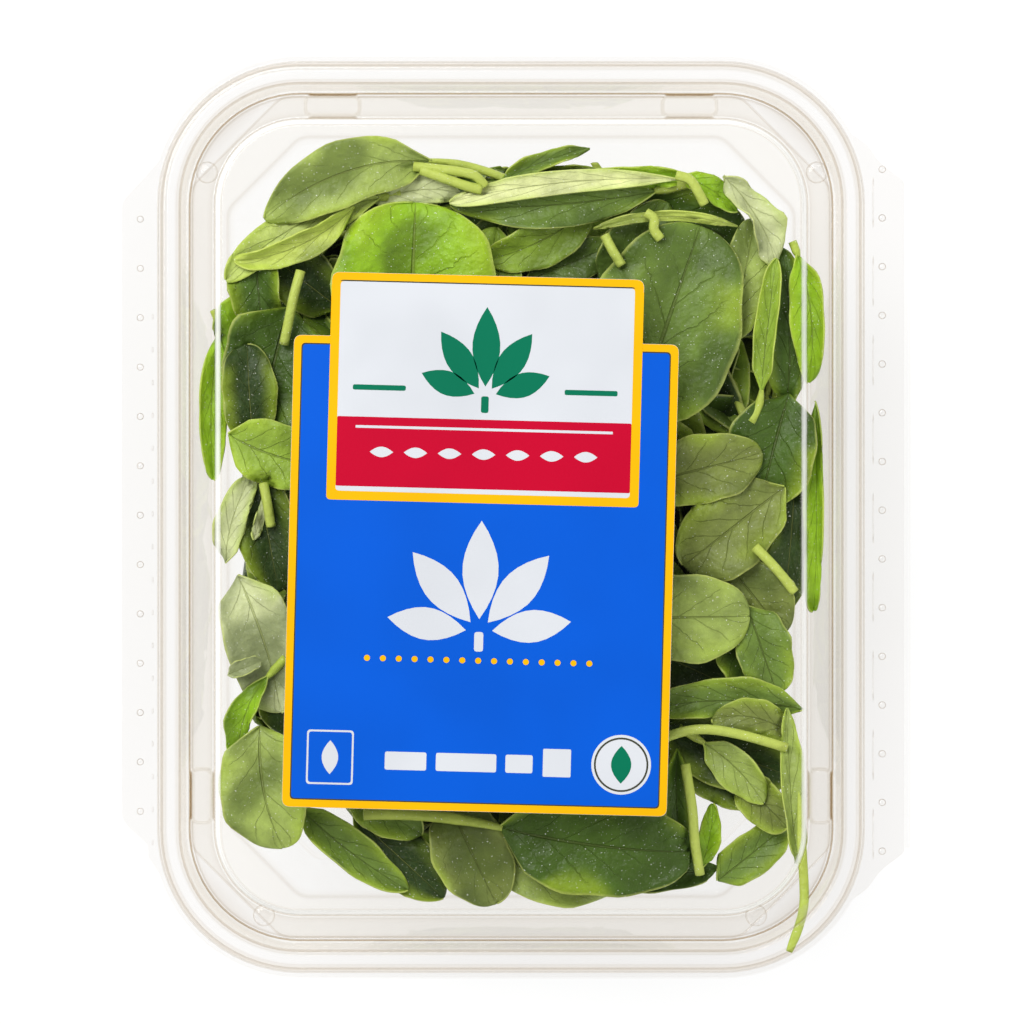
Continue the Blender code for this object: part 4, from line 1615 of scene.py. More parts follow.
@dataclass(frozen=True)
class Blade:
    """Shape of one leaf, in millimetres and degrees."""

    length: float
    width: float
    fold: float = 6.0
    curl: float = 20.0
    bend: float = 20.0
    wave: float = 1.0
    twist: float = 0.0
    phase: float = 0.0
    belly: float = 0.48
    point: float = 0.58
    sway: float = 0.0
    pucker: float = 0.5
    side_veins: float = 5.0
    sweep: float = 0.50
    thickness: float = 0.4
    stem: float = 0.0
    stem_turn: float = 0.0
    stem_radius: float = 1.15
    rows: int = 28
    columns: int = 13

    def half_widths(self, along: np.ndarray, across: np.ndarray) -> np.ndarray:
        """Return the blade's half width along it: an uneven egg shape that tapers into the stem.

        Args:
            along, across: place of each point along the blade (0 to 1) and across it (-1 to 1).

        Returns:
            The half width at each point.
        """
        egg = np.sin(np.pi * along ** (math.log(0.5) / math.log(self.belly))) ** self.point
        neck = np.clip(along / 0.16, 0, 1) ** 0.7
        side = np.sign(across) + self.phase
        uneven = 1 + 0.05 * np.sin(7.5 * along + 2 * side) + 0.025 * np.sin(21 * along + 3 * side)
        return self.width / 2 * np.maximum(egg * (0.25 + 0.75 * neck) * uneven, 0.03)

    def surface(self) -> tuple[np.ndarray, np.ndarray, np.ndarray]:
        """Return the blade's middle surface as a grid.

        Returns:
            Its points (rows, columns, 3), how far along each lies, and how far across from -1 to 1.
        """
        turns = np.linspace(0, np.pi, self.rows)
        along = np.repeat((0.5 - 0.5 * np.cos(turns))[:, None], self.columns, axis=1)
        across = np.repeat(np.linspace(-1, 1, self.columns)[None, :], self.rows, axis=0)
        out = np.abs(across)
        half = self.half_widths(along, across)
        rate = max(math.radians(abs(self.curl)), 0.01) / (self.width / 2)
        fold = math.radians(self.fold)
        angle = fold + rate * half * out
        sideways = np.sign(across) * (np.sin(angle) - math.sin(fold)) / rate
        sideways = sideways + self.sway * ((2 * along - 1) ** 2 - 0.5)
        rise = (math.cos(fold) - np.cos(angle)) / rate * math.copysign(1, self.curl)
        side = np.where(across < 0, 1.7, 0.0)
        rise = rise + self.wave * out**2 * np.sin(11.6 * along + self.phase + side)
        rise = rise + 0.4 * self.wave * out**3 * np.sin(27 * along + 2.3 * self.phase + 2 * side)
        swept = self.side_veins * (along - self.sweep * out**0.8) + 0.5 * (across > 0)
        swell = np.sin(np.pi * swept) ** 2 * np.sin(np.pi * np.clip(out, 0, 1)) ** 0.7
        rise = rise + self.pucker * swell * np.sin(np.pi * along)
        rise = rise + 0.35 * np.sin(9 * along + self.phase) * np.sin(4 * across + 2 * self.phase)
        twist = math.radians(self.twist) * (along - 0.5)
        sideways, rise = (
            sideways * np.cos(twist) - rise * np.sin(twist),
            sideways * np.sin(twist) + rise * np.cos(twist),
        )
        spin = math.radians(self.bend)
        spin = spin if abs(spin) > 0.01 else 0.01
        arch = spin / self.length
        lean = arch * (along - 0.5) * self.length
        x = np.sin(lean) / arch + rise * np.sin(lean)
        z = -(1 - np.cos(lean)) / arch + rise * np.cos(lean)
        return np.stack([x, sideways, z], axis=-1), along, across

    def add_to(
        self, cloth: LeafCloth, place: Matrix, tone: Tone, seed: float, settle: Settle | None = None
    ) -> None:
        """Add the leaf's blade and stem to a gathered mesh.

        Args:
            cloth: the mesh that takes it.
            place: where it goes, in millimetres.
            tone: its colour.
            seed: a number from 0 to 1 that sets its fine veins apart.
            settle: moves a placed surface to where its neighbours leave room.
        """
        middle, along, across = self.surface()
        local = middle[:, self.columns // 2]
        middle = moved(middle.reshape(-1, 3), place).reshape(middle.shape)
        if settle is not None:
            middle = settle(middle)
        normals = np.cross(np.gradient(middle, axis=0), np.gradient(middle, axis=1))
        normals /= np.linalg.norm(normals, axis=-1, keepdims=True) + 1e-12
        lift = normals * self.thickness / 2
        grid = np.arange(self.rows * self.columns).reshape(self.rows, self.columns)
        lower = grid + grid.size
        faces = []
        for i in range(self.rows - 1):
            for j in range(self.columns - 1):
                faces.append([grid[i, j], grid[i + 1, j], grid[i + 1, j + 1], grid[i, j + 1]])
                faces.append([lower[i, j], lower[i, j + 1], lower[i + 1, j + 1], lower[i + 1, j]])
        ring = list(grid[:, 0]) + list(grid[-1, 1:]) + list(grid[-2::-1, -1]) + list(grid[0, -2:0:-1])
        for first, second in zip(ring, ring[1:] + ring[:1]):
            faces.append([first, first + grid.size, second + grid.size, second])
        points = np.vstack([(middle + lift).reshape(-1, 3), (middle - lift).reshape(-1, 3)])
        flat = np.stack([along, across, np.full(along.shape, seed)], axis=-1).reshape(-1, 3)
        cloth.add(points, faces, np.vstack([flat, flat]), tone, 0.0)
        if self.stem > 0:
            self.add_stem(cloth, place, tone, local, middle[:, self.columns // 2])

    def add_stem(
        self, cloth: LeafCloth, place: Matrix, tone: Tone, local: np.ndarray, midrib: np.ndarray
    ) -> None:
        """Add the stem: a bent round stalk that runs out of the blade's base.

        Args:
            cloth: the mesh that takes it.
            place: where the leaf goes, in millimetres.
            tone: its colour.
            local: the midrib's points in the leaf's own frame.
            midrib: the same points where they settled.
        """
        heading = local[0] - local[3]
        heading = heading / np.linalg.norm(heading)
        steps = 9
        reach = self.stem + float(np.linalg.norm(local[0] - local[2]))
        path = []
        for i in range(steps + 1):
            share = i / steps
            turn = math.radians(self.stem_turn) * share / 2
            step = np.array(
                [
                    heading[0] * math.cos(turn) - heading[1] * math.sin(turn),
                    heading[0] * math.sin(turn) + heading[1] * math.cos(turn),
                    heading[2] * (1 - share),
                ]
            )
            path.append(local[2] + step * reach * share)
        placed = moved(np.array(path), place)
        placed = placed + (midrib[2] - placed[0])
        radii = [self.stem_radius * (0.55 + 0.45 * min(1.0, 3 * i / steps)) for i in range(steps + 1)]
        add_stalk(cloth, stalk(placed, radii, 8), tone)


def stalk(path: np.ndarray, radii: Sequence[float], sides: int) -> tuple[np.ndarray, list[list[int]]]:
    """Return a closed round tube along a path.

    Args:
        path: the points of its middle line.
        radii: its radius at each point.
        sides: how many sides it has.

    Returns:
        Its points and its faces.
    """
    runs = np.gradient(path, axis=0)
    points = []
    for centre, run, radius in zip(path, runs, radii):
        forward = run / np.linalg.norm(run)
        side = np.cross(forward, (0.0, 0.0, 1.0))
        if np.linalg.norm(side) < 1e-3:
            side = np.array((1.0, 0.0, 0.0))
        side = side / np.linalg.norm(side)
        up = np.cross(side, forward)
        for k in range(sides):
            turn = math.tau * k / sides
            points.append(centre + radius * (math.cos(turn) * side + math.sin(turn) * up))
    faces = []
    for i in range(len(path) - 1):
        for k in range(sides):
            following = (k + 1) % sides
            a, b = i * sides + k, i * sides + following
            faces.append([a, b, b + sides, a + sides])
    last = (len(path) - 1) * sides
    faces.append([last + k for k in range(sides)])
    faces.append([k for k in reversed(range(sides))])
    return np.array(points), [list(reversed(face)) for face in faces]


def add_stalk(cloth: LeafCloth, tube: tuple[np.ndarray, list[list[int]]], tone: Tone) -> None:
    """Add a stalk's points and faces to a gathered mesh, painted as a stem."""
    points, faces = tube
    cloth.add(points, faces, np.zeros((len(points), 3)), tone, 1.0)


def curved(corners: np.ndarray, count: int) -> np.ndarray:
    """Return a smooth line of a number of points along straight runs between corners.

    Args:
        corners: the corners, one to a row.
        count: how many points the line gets.

    Returns:
        The points of the line.
    """
    share = np.linspace(0, len(corners) - 1, count)
    known = np.arange(len(corners))
    line = np.stack([np.interp(share, known, corners[:, axis]) for axis in range(3)], axis=-1)
    for _ in range(3):
        line[1:-1] = (line[:-2] + 2 * line[1:-1] + line[2:]) / 4
    return line


def moved(points: np.ndarray, place: Matrix) -> np.ndarray:
    """Return points moved by a matrix."""
    matrix = np.array(place)
    return points @ matrix[:3, :3].T + matrix[:3, 3]


@dataclass(frozen=True)
class Lay:
    """How one listed leaf lies: its base and its tip as seen from above, in millimetres."""

    base: Point
    tip: Point
    width: float
    height: float
    tone: Tone
    roll: float = 0.0
    dip: float = 0.0
    curl: float = 22.0
    fold: float = 6.0
    bend: float = 22.0
    wave: float = 1.0
    stem: float = 0.0
    stem_turn: float = 0.0
    thick: float = 1.15
    belly: float = 0.48
    point: float = 0.58
    sway: float = 0.0

    def matrix(self) -> Matrix:
        """Return the leaf's place: its own x runs from base to tip, and its z is up before the roll.

        Returns:
            The matrix, in millimetres.
        """
        run = Vector((self.tip[0] - self.base[0], self.tip[1] - self.base[1], -self.dip))
        along = run.normalized()
        across = Vector((0, 0, 1)).cross(along).normalized()
        up = along.cross(across)
        axes = Matrix((along, across, up)).transposed().to_4x4()
        middle = Vector(((self.tip[0] + self.base[0]) / 2, (self.tip[1] + self.base[1]) / 2, self.height))
        return Matrix.Translation(middle) @ axes @ Matrix.Rotation(math.radians(self.roll), 4, "X")

    def blade(self, number: int) -> Blade:
        """Return the leaf's shape; its number in the list sets its waves apart.

        Args:
            number: the leaf's place in the list.

        Returns:
            The shape.
        """
        chord = math.dist(self.base, self.tip)
        half_turn = math.radians(abs(self.bend)) / 2
        length = chord * half_turn / math.sin(half_turn) if half_turn > 0.01 else chord
        return Blade(
            length=length, width=self.width, fold=self.fold, curl=self.curl, bend=self.bend, wave=self.wave,
            phase=1.7 * number, stem=self.stem, stem_turn=self.stem_turn, stem_radius=self.thick,
            belly=self.belly, point=self.point, sway=self.sway,
        )


class Cover:
    """Map of how low the leaves laid so far hang, so that the next ones stay under them."""

    def __init__(self, half: float = 130.0, clearance: float = 0.55) -> None:
        """Start with nothing laid, over a square of this half size in millimetres.

        Args:
            half: half size of the square that it maps.
            clearance: the gap kept under what is laid.
        """
        self.half = half
        self.clearance = clearance
        self.low = np.full((int(2 * half), int(2 * half)), 1e3)

    def cells(self, points: np.ndarray) -> tuple[np.ndarray, np.ndarray]:
        """Return the map's cells under some points."""
        index = np.clip((points[..., :2] + self.half).astype(int), 0, self.low.shape[0] - 1)
        return index[..., 0], index[..., 1]

    def lay(self, surface: np.ndarray) -> None:
        """Note a laid surface, given as a grid of points.

        Args:
            surface: its points (rows, columns, 3).
        """
        fine = surface
        for axis in (0, 1):
            count = fine.shape[axis]
            share = np.linspace(0, count - 1, 5 * count)
            first = np.clip(share.astype(int), 0, count - 2)
            part = (share - first)[:, None, None] if axis == 0 else (share - first)[None, :, None]
            near, far = np.take(fine, first, axis), np.take(fine, first + 1, axis)
            fine = near * (1 - part) + far * part
        np.minimum.at(self.low, self.cells(fine), fine[..., 2])

    def under(self, points: np.ndarray, margin: float = 0.0) -> np.ndarray:
        """Return the points moved down to below what is laid, in their own order where a margin is given.

        Args:
            points: the points, in millimetres.
            margin: the depth that takes up what stood higher, or 0 to flatten it.

        Returns:
            The moved points.
        """
        near = self.low
        for axis in (0, 1):
            near = np.minimum(near, np.minimum(np.roll(near, 1, axis), np.roll(near, -1, axis)))
        limit = near[self.cells(points)] - self.clearance
        kept = points.copy()
        high = points[..., 2]
        kept[..., 2] = squeezed(high, limit, margin) if margin else np.minimum(high, limit)
        return kept


@dataclass
class Heap:
    """The heap: a dark bed, leaves scattered over it, and listed leaves and a caught stem on top."""

    gauge: Gauge
    tray: Tray
    bed_half_width: float = 69.0
    bed_half_length: float = 93.0
    bed_cut: float = 43.0
    bed_top: float = 48.0
    spread_half_width: float = 78.0
    spread_half_length: float = 99.0
    spread_cut: float = 46.0
    stem_radius: float = 1.35
    middle_leaves: int = 20
    heap_top: float = 62.0
    scatter_top: float = 59.0
    scatter_tilt: float = 0.35
    spread_margin: float = 9.0
    stack_margin: float = 5.0
    density: float = 6200.0
    seed: int = 11
    # Mostly dark tones: partly the leaves' own colours, partly painted shade, as these leaves lie under the
    # top ones.
    tones: tuple[Tone, ...] = (
        Tone.MID, Tone.DEEP, Tone.DARK, Tone.FRESH, Tone.DEEP, Tone.DARK, Tone.OLIVE, Tone.DEEP, Tone.MID,
    )

    def lays(self) -> tuple[Lay, ...]:
        """Lay the leaves that show round the label, from the +y end clockwise.

        Returns:
            The leaves.
        """
        return (
            # The +y end
            Lay(
                (-22, 97), (-66.5, 81.5), 19, 59.5, Tone.MOSS, roll=-8, curl=30, bend=30,
                stem=23, stem_turn=-21, sway=5,
            ),
            Lay((-36, 87), (-77, 65), 13, 57, Tone.SAGE, roll=8, curl=44, stem=6, point=0.5, sway=3.5),
            Lay((-41, 81), (-73, 66.5), 10, 58, Tone.LIME, roll=-20, curl=60, sway=-3),
            Lay((-13, 85.5), (-60, 78), 11, 54.5, Tone.DARK, curl=40, sway=2),
            Lay((-37, 85), (-13.5, 87.5), 11, 56, Tone.SILVER, roll=-10, curl=50, sway=-2),
            Lay((-27, 43), (-25.5, 83.6), 47, 57.5, Tone.BRIGHT, dip=-4, curl=26, bend=30, point=0.42),
            Lay((24, 84), (-7, 67), 15, 54.5, Tone.FRESH, roll=-14, curl=34, stem=4, sway=-2.5),
            Lay(
                (45.5, 91), (-16.5, 85), 10, 60, Tone.PALE, curl=70, fold=12, bend=14,
                wave=0.6, belly=0.62, sway=2.2,
            ),
            Lay(
                (39, 86), (-16, 82), 13, 57.5, Tone.MID, roll=-10, curl=40, stem=9,
                stem_turn=8, thick=1.5, sway=-1.5,
            ),
            Lay((60.5, 79), (22, 78.4), 4.5, 59, Tone.LIME, curl=80, fold=10, bend=20, wave=0.4, sway=3),
            Lay((24, 62), (42, 84), 15, 53.5, Tone.MID, curl=26, point=0.45),
            Lay((34, 86), (64, 72), 20, 52, Tone.DEEP, curl=26),
            Lay((46, 91.5), (60.5, 82), 8, 57, Tone.BRIGHT, roll=-14, curl=50, sway=-1),
            Lay((18, 90.5), (48, 90.5), 8, 57, Tone.BRIGHT, roll=12, curl=50),
            Lay((-4, 89.5), (20.8, 99), 6.5, 57, Tone.MID, roll=-10, curl=60, point=0.9, sway=-0.8),
            Lay((0, 91), (24, 92.5), 5, 56, Tone.DARK, curl=60),
            Lay((4, 63), (28, 73), 13, 52, Tone.MID, curl=34),
            # The hinge side
            Lay(
                (31.5, 22), (50.5, 77.5), 41, 59.5, Tone.MID, curl=14, bend=16, wave=0.8,
                stem=6, point=0.42, belly=0.54,
            ),
            Lay((58, 46), (65.5, 79.5), 15, 57, Tone.MOSS, roll=8, curl=32, point=0.45),
            Lay(
                (58, 91.5), (72.5, 65), 12, 57.5, Tone.SILVER, roll=-26, curl=60, wave=2.2,
                point=0.8, sway=-2.5,
            ),
            Lay(
                (66.5, 33.5), (70.5, 69), 11, 59, Tone.FRESH, roll=-10, curl=80, fold=16,
                stem=9, stem_turn=-24, point=0.7,
            ),
            Lay((74, 28), (73, 72), 15, 55, Tone.DEEP, roll=-14, curl=56, sway=2),
            Lay((77.5, 70), (80.5, 36), 12, 56, Tone.BRIGHT, roll=12, curl=40, stem=4, sway=-2.5),
            Lay((81.5, 30.5), (81, -25), 8, 55, Tone.BRIGHT, roll=14, curl=40, wave=1.8, point=0.4, sway=-1),
            Lay((74, 33), (66, 2), 26, 55.5, Tone.DEEP, roll=6, curl=30, wave=1.6),
            Lay((36, 9), (67, 17), 20, 59, Tone.OLIVE, roll=6, curl=24, wave=1.2, point=0.5),
            Lay((73, 8), (46, -13), 24, 58, Tone.OLIVE, curl=24, point=0.42, belly=0.56),
            Lay((76, 9), (73, -26), 14, 55, Tone.DARK, roll=-8, curl=30),
            Lay((60, -14), (76, -20), 9, 56, Tone.MID, curl=50),
            Lay((24, -27), (63.5, -26.5), 25, 60, Tone.MOSS, curl=18, wave=1.0, point=0.44, belly=0.55),
            Lay((58, -13), (73, -31), 20, 56.5, Tone.OLIVE, curl=34, point=0.45),
            Lay((63, -24), (71, -47), 17, 57, Tone.MID, roll=-12, curl=34, point=0.42),
            Lay((58, -27), (64, -47), 15, 54, Tone.DEEP, roll=-8, curl=34),
            Lay((34, -34), (60, -46), 20, 50, Tone.DARK, curl=24),
            Lay((78, -50), (37, -50), 14, 58, Tone.MID, roll=14, curl=44, fold=12, point=0.5, sway=2),
            Lay((75.5, -57), (54, -52.5), 11, 59, Tone.OLIVE, roll=8, curl=40, point=0.45, sway=2.5),
            Lay((40, -56), (76, -70), 22, 50, Tone.DARK, curl=30),
            Lay((52, -60), (68, -76), 12, 55, Tone.MOSS, roll=10, curl=40, stem=8, sway=-1.5),
            Lay((61, -70), (74, -83), 13, 53.5, Tone.OLIVE, roll=10, curl=34, point=0.45),
            Lay((44, -62), (72, -77), 17, 49, Tone.DARK, curl=24),
            Lay(
                (76.5, -93), (73.5, -51), 10, 59.5, Tone.MOSS, roll=16, curl=70, fold=14,
                point=0.7, sway=-1.5,
            ),
            # The -y end
            Lay((51, -94.5), (54.5, -77), 6.5, 50, Tone.BRIGHT, curl=30, sway=1),
            Lay((55.5, -97.5), (73.5, -83), 13, 50, Tone.MID, curl=30, point=0.42),
            Lay((44, -62), (45.5, -94), 9, 55, Tone.DEEP, curl=70, fold=10, sway=1),
            Lay((56, -94), (28, -98.5), 9, 50, Tone.DEEP, curl=34),
            Lay(
                (-3, -83.5), (48.5, -90), 29, 60.5, Tone.DEEP, curl=16, bend=18, stem=37, stem_turn=16,
                thick=1.6, point=0.46, belly=0.5, sway=1.5,
            ),
            Lay((-17, -76), (-4, -103.5), 22, 53, Tone.OLIVE, curl=26, point=0.45),
            Lay((-14, -85), (27, -102), 16, 52, Tone.MOSS, roll=12, curl=40, sway=3),
            Lay((-42, -80), (-18, -102), 18, 51.5, Tone.DARK, curl=30),
            Lay((-57, -78), (-28, -100), 13, 54, Tone.MID, roll=-12, curl=50, sway=1.5),
            Lay((-44, -72), (-24, -85), 14, 53, Tone.MID, curl=30),
            # The latch side
            Lay((-68, -56), (-62, -88.5), 25, 59, Tone.MOSS, roll=6, curl=20, point=0.46, sway=2),
            Lay(
                (-66.5, -42), (-74, -68.5), 10, 58.5, Tone.BRIGHT, roll=22, curl=70, stem=7,
                stem_turn=-12, sway=3,
            ),
            Lay(
                (-72.5, -15.5), (-61, -52), 22, 57, Tone.SILVER, roll=10, curl=36, bend=30,
                point=0.5, sway=-2,
            ),
            Lay((-75.5, -42), (-66.5, -38.5), 7, 60, Tone.SILVER, roll=-10, curl=80, fold=10),
            Lay((-64, -42), (-60, -58), 12, 53, Tone.DARK, curl=30),
            Lay((-69, 74), (-66, 47), 18, 55, Tone.DEEP, roll=12, curl=60, point=0.5),
            Lay((-46, 56), (-66, 71), 18, 50, Tone.DARK, curl=30),
            Lay((-59.5, 56), (-69, 18), 30, 56.5, Tone.DEEP, curl=30, wave=1.8, belly=0.4),
            Lay((-69, 20), (-70.5, 46), 16, 58, Tone.DARK, curl=30, point=0.4),
            Lay((-75.5, 21), (-48, 13), 20, 60, Tone.FRESH, curl=36, fold=10, point=0.5, sway=2),
            Lay(
                (-78.5, 48.5), (-80, 10), 9.5, 56, Tone.BRIGHT, roll=-14, curl=40, stem=7,
                stem_turn=40, sway=1.5,
            ),
            Lay((-77, -12), (-69.5, 12), 10, 57.5, Tone.SILVER, roll=-8, curl=46, sway=-1.5),
            Lay((-68, 12), (-62, -20), 19, 56, Tone.DARK, curl=40),
            Lay((-68.5, -6), (-65, 6), 5, 58, Tone.SILVER, curl=90, fold=12, point=0.4),
            Lay((-76.5, 44), (-69, 60), 14, 55, Tone.BRIGHT, curl=30),
        )

    def middle_lays(self) -> list[Lay]:
        """Lay leaves at random over the heap's middle, under the label.

        Returns:
            The leaves.
        """
        draw = random.Random(self.seed + 1)
        tones = (Tone.MID, Tone.FRESH, Tone.DEEP, Tone.OLIVE, Tone.SAGE, Tone.DEEP)
        leaves = []
        for number in range(self.middle_leaves):
            reach = math.sqrt((number + 0.5) / self.middle_leaves)
            turn = 2.4 * number
            centre = Vector((-8 + 42 * reach * math.cos(turn), -6 + 62 * reach * math.sin(turn)))
            half = Matrix.Rotation(draw.uniform(0, math.tau), 2) @ Vector((draw.uniform(20, 27), 0))
            leaves.append(
                Lay(
                    tuple(centre - half), tuple(centre + half), draw.uniform(24, 34),
                    draw.uniform(47.5, 53.5), tones[number % len(tones)],
                    roll=draw.uniform(-14, 14), curl=draw.uniform(16, 50),
                    bend=draw.uniform(10, 34), wave=draw.uniform(0.8, 1.8), stem=draw.uniform(0, 14),
                    sway=draw.uniform(-3, 3),
                )
            )
        return leaves

    def stems(self) -> tuple[tuple[tuple[float, float, float], ...], ...]:
        """Lay the loose stems that show: points of each one's middle line.

        Returns:
            The points of each stem.
        """
        return (
            ((39, -59.5, 60), (46, -56.8, 60.6), (53, -56.2, 61), (63, -58.2, 61), (73.5, -61.5, 60)),
            ((65, -8, 60), (69, -12, 61), (72.5, -16, 61), (75.5, -20, 60.5)),
            ((-56, 65.5, 60), (-57.8, 59, 61), (-59, 53, 60.5), (-60.5, 46, 59)),
            ((25, 75, 59), (27, 71, 60), (29.5, 67, 59.5)),
            ((46.5, -66, 57), (48.5, -78, 58), (49, -87, 57), (50.5, -95.5, 55)),
            ((44, 91, 61), (47.8, 90, 61.5), (49.8, 86.5, 61.5), (51.5, 83.3, 60.5)),
            ((36, 81, 60.5), (38.4, 79.5, 61), (37.8, 76.5, 61), (39.8, 74, 60.5)),
            ((-26, 93.5, 57.5), (-15, 92.3, 58.5), (-9.5, 91.2, 58.5), (-7, 88.3, 57.5)),
            ((-24, 92.5, 58), (-18, 90.3, 59), (-12, 88.2, 59), (-8, 87.3, 58)),
            ((-66, 9, 58), (-64.8, 3, 59), (-64, -2.5, 58)),
        )

    def make_bed(self) -> Piece:
        """Make the dark bed, painted for the shade deep in the heap: an uneven block well inside the tray.

        Returns:
            The piece.
        """
        levels = [
            (10, self.gauge.heap_low + 0.5), (2, self.gauge.heap_low + 5), (0, 16), (1, 30),
            (9, self.bed_top - 5), (26, self.bed_top), (46, self.bed_top + 2),
        ]
        outlines = []
        for inset, z in levels:
            half_width = self.bed_half_width - inset
            half_length = self.bed_half_length - inset
            cut = self.bed_cut - 0.5 * inset
            points = [
                (half_width, -half_length + cut), (half_width, half_length - cut),
                (half_width - cut, half_length),
            ]
            points += [(-x, y) for x, y in reversed(points[1:])]
            points += [(-x, -y) for x, y in points[1:-1]]
            outlines.append([(x, y, z) for x, y in eased(points, [12] * len(points), 5, closed=True)])
        mesh = bmesh.new()
        loops = []
        for outline in outlines:
            places = [self.gauge.world(np.array(point)) for point in outline]
            loops.append([mesh.verts.new(Vector(place)) for place in places])
        join_loops(mesh, loops)
        mesh.faces.new(list(reversed(loops[0])))
        mesh.faces.new(loops[-1])
        bmesh.ops.recalc_face_normals(mesh, faces=mesh.faces)
        data = mesh_data(mesh, "leaf_bed")
        smooth(data, 60)
        return new_piece("leaf_bed", data, PaintedShadeBedFinish().material())

    def leaf_kinds(self) -> bpy.types.Collection:
        """Make the loose leaf shapes that are scattered, in a collection of their own.

        Returns:
            The collection.
        """
        draw = random.Random(self.seed)
        kinds = bpy.data.collections.new("loose_leaves")
        bpy.context.scene.collection.children.link(kinds)
        for number in range(9):
            cloth = LeafCloth()
            blade = Blade(
                length=draw.uniform(42, 56), width=draw.uniform(24, 34), fold=draw.uniform(2, 14),
                curl=draw.uniform(14, 60), bend=draw.uniform(5, 50), wave=draw.uniform(0.8, 2.6),
                twist=draw.uniform(-25, 25), phase=draw.uniform(0, math.tau), stem=draw.uniform(0, 22),
                stem_turn=draw.uniform(-30, 30), belly=draw.uniform(0.40, 0.54), point=draw.uniform(0.6, 0.9),
                sway=draw.uniform(-3, 3), rows=13, columns=7,
            )
            blade.add_to(cloth, Matrix.Identity(4), Tone.MID, number / 9)
            mesh = cloth.mesh(f"loose_leaf_{number}", lambda points: points * MM)
            kinds.objects.link(bpy.data.objects.new(mesh.name, mesh))
        return kinds

    def scatter_tree(self) -> GrowthTree:
        """Make the tree that scatters leaves over the bed, flat on it and turned at random.

        Returns:
            The tree.
        """
        tree = GrowthTree(
            "leaf_scatter",
            {
                "Leaves": "NodeSocketCollection", "Density": "NodeSocketFloat", "Seed": "NodeSocketInt",
                "Tilt": "NodeSocketFloat", "Finish": "NodeSocketMaterial",
            },
        )
        points = tree.node("GeometryNodeDistributePointsOnFaces", distribute_method="RANDOM")
        tree.feed(points.inputs["Mesh"], tree.inputs["Geometry"])
        tree.feed(points.inputs["Density"], tree.inputs["Density"])
        tree.feed(points.inputs["Seed"], tree.inputs["Seed"])
        turn = tree.node("FunctionNodeRandomValue", data_type="FLOAT_VECTOR")
        limits = [tree.node("ShaderNodeCombineXYZ") for _ in range(2)]
        for sign, limit in zip((-1, 1), limits):
            reach = tree.math("MULTIPLY", tree.inputs["Tilt"], float(sign))
            tree.feed(limit.inputs[0], reach)
            tree.feed(limit.inputs[1], reach)
            limit.inputs[2].default_value = sign * math.pi
        tree.feed(turn.inputs["Min"], limits[0].outputs["Vector"])
        tree.feed(turn.inputs["Max"], limits[1].outputs["Vector"])
        tree.feed(turn.inputs["Seed"], tree.inputs["Seed"])
        euler = tree.node("FunctionNodeEulerToRotation")
        tree.feed(euler.inputs["Euler"], turn.outputs["Value"])
        rotation = tree.node("FunctionNodeRotateRotation", rotation_space="LOCAL")
        tree.feed(rotation.inputs["Rotation"], points.outputs["Rotation"])
        tree.feed(rotation.inputs["Rotate By"], euler.outputs["Rotation"])
        kinds = tree.node("GeometryNodeCollectionInfo")
        tree.feed(kinds.inputs["Collection"], tree.inputs["Leaves"])
        kinds.inputs["Separate Children"].default_value = True
        kinds.inputs["Reset Children"].default_value = True
        copies = tree.node("GeometryNodeInstanceOnPoints")
        tree.feed(copies.inputs["Points"], points.outputs["Points"])
        tree.feed(copies.inputs["Instance"], kinds.outputs[0])
        copies.inputs["Pick Instance"].default_value = True
        tree.feed(copies.inputs["Rotation"], rotation.outputs["Rotation"])
        chance = tree.node("FunctionNodeRandomValue", data_type="FLOAT")
        tree.feed(chance.inputs["Seed"], tree.inputs["Seed"])
        stored = tree.node("GeometryNodeStoreNamedAttribute", data_type="FLOAT", domain="INSTANCE")
        tree.feed(stored.inputs["Geometry"], copies.outputs["Instances"])
        stored.inputs["Name"].default_value = "leaf_chance"
        tree.feed(stored.inputs["Value"], chance.outputs[1])
        tree.end(stored.outputs["Geometry"])
        return tree

    def make_loose_leaves(
        self, bed: Piece, finish: Material, cover: Cover
    ) -> Piece:
        """Make the scattered leaves as one mesh, pressed into the heap's outline.

        Args:
            bed: the piece over which they lie.
            finish: their material.
            cover: the map of the listed leaves, which they stay under.

        Returns:
            The piece.
        """
        kinds = self.leaf_kinds()
        piece = new_piece("loose_leaves", bed.data.copy())
        values = {
            "Leaves": kinds, "Density": self.density, "Seed": self.seed, "Tilt": self.scatter_tilt,
            "Finish": finish,
        }
        self.scatter_tree().grow(piece, values)
        for leaf in list(kinds.objects):
            bpy.data.objects.remove(leaf)
        bpy.data.collections.remove(kinds)
        mesh = piece.data
        chances = np.empty(len(mesh.vertices), dtype=np.float32)
        mesh.attributes["leaf_chance"].data.foreach_get("value", chances)
        palette = np.array([tone.paint() for tone in self.tones])
        painted = palette[(chances * len(palette)).astype(int)]
        write_attribute(mesh, "leaf_tone", "FLOAT_COLOR", "color", painted)
        mesh.attributes.remove(mesh.attributes["leaf_chance"])
        points = read_points(mesh) / MM - np.array([self.gauge.ring_x, 0, 0])
        half_width, half_length = self.spread_half_width, self.spread_half_length
        points = self.pressed(points, half_width, half_length, self.spread_cut, self.spread_margin)
        points[:, 2] = squeezed(points[:, 2], self.scatter_top, self.stack_margin)
        points = cover.under(points, self.stack_margin)
        mesh.vertices.foreach_set("co", self.gauge.world(points).astype(np.float32).ravel())
        mesh.update()
        mesh.shade_smooth()
        return piece

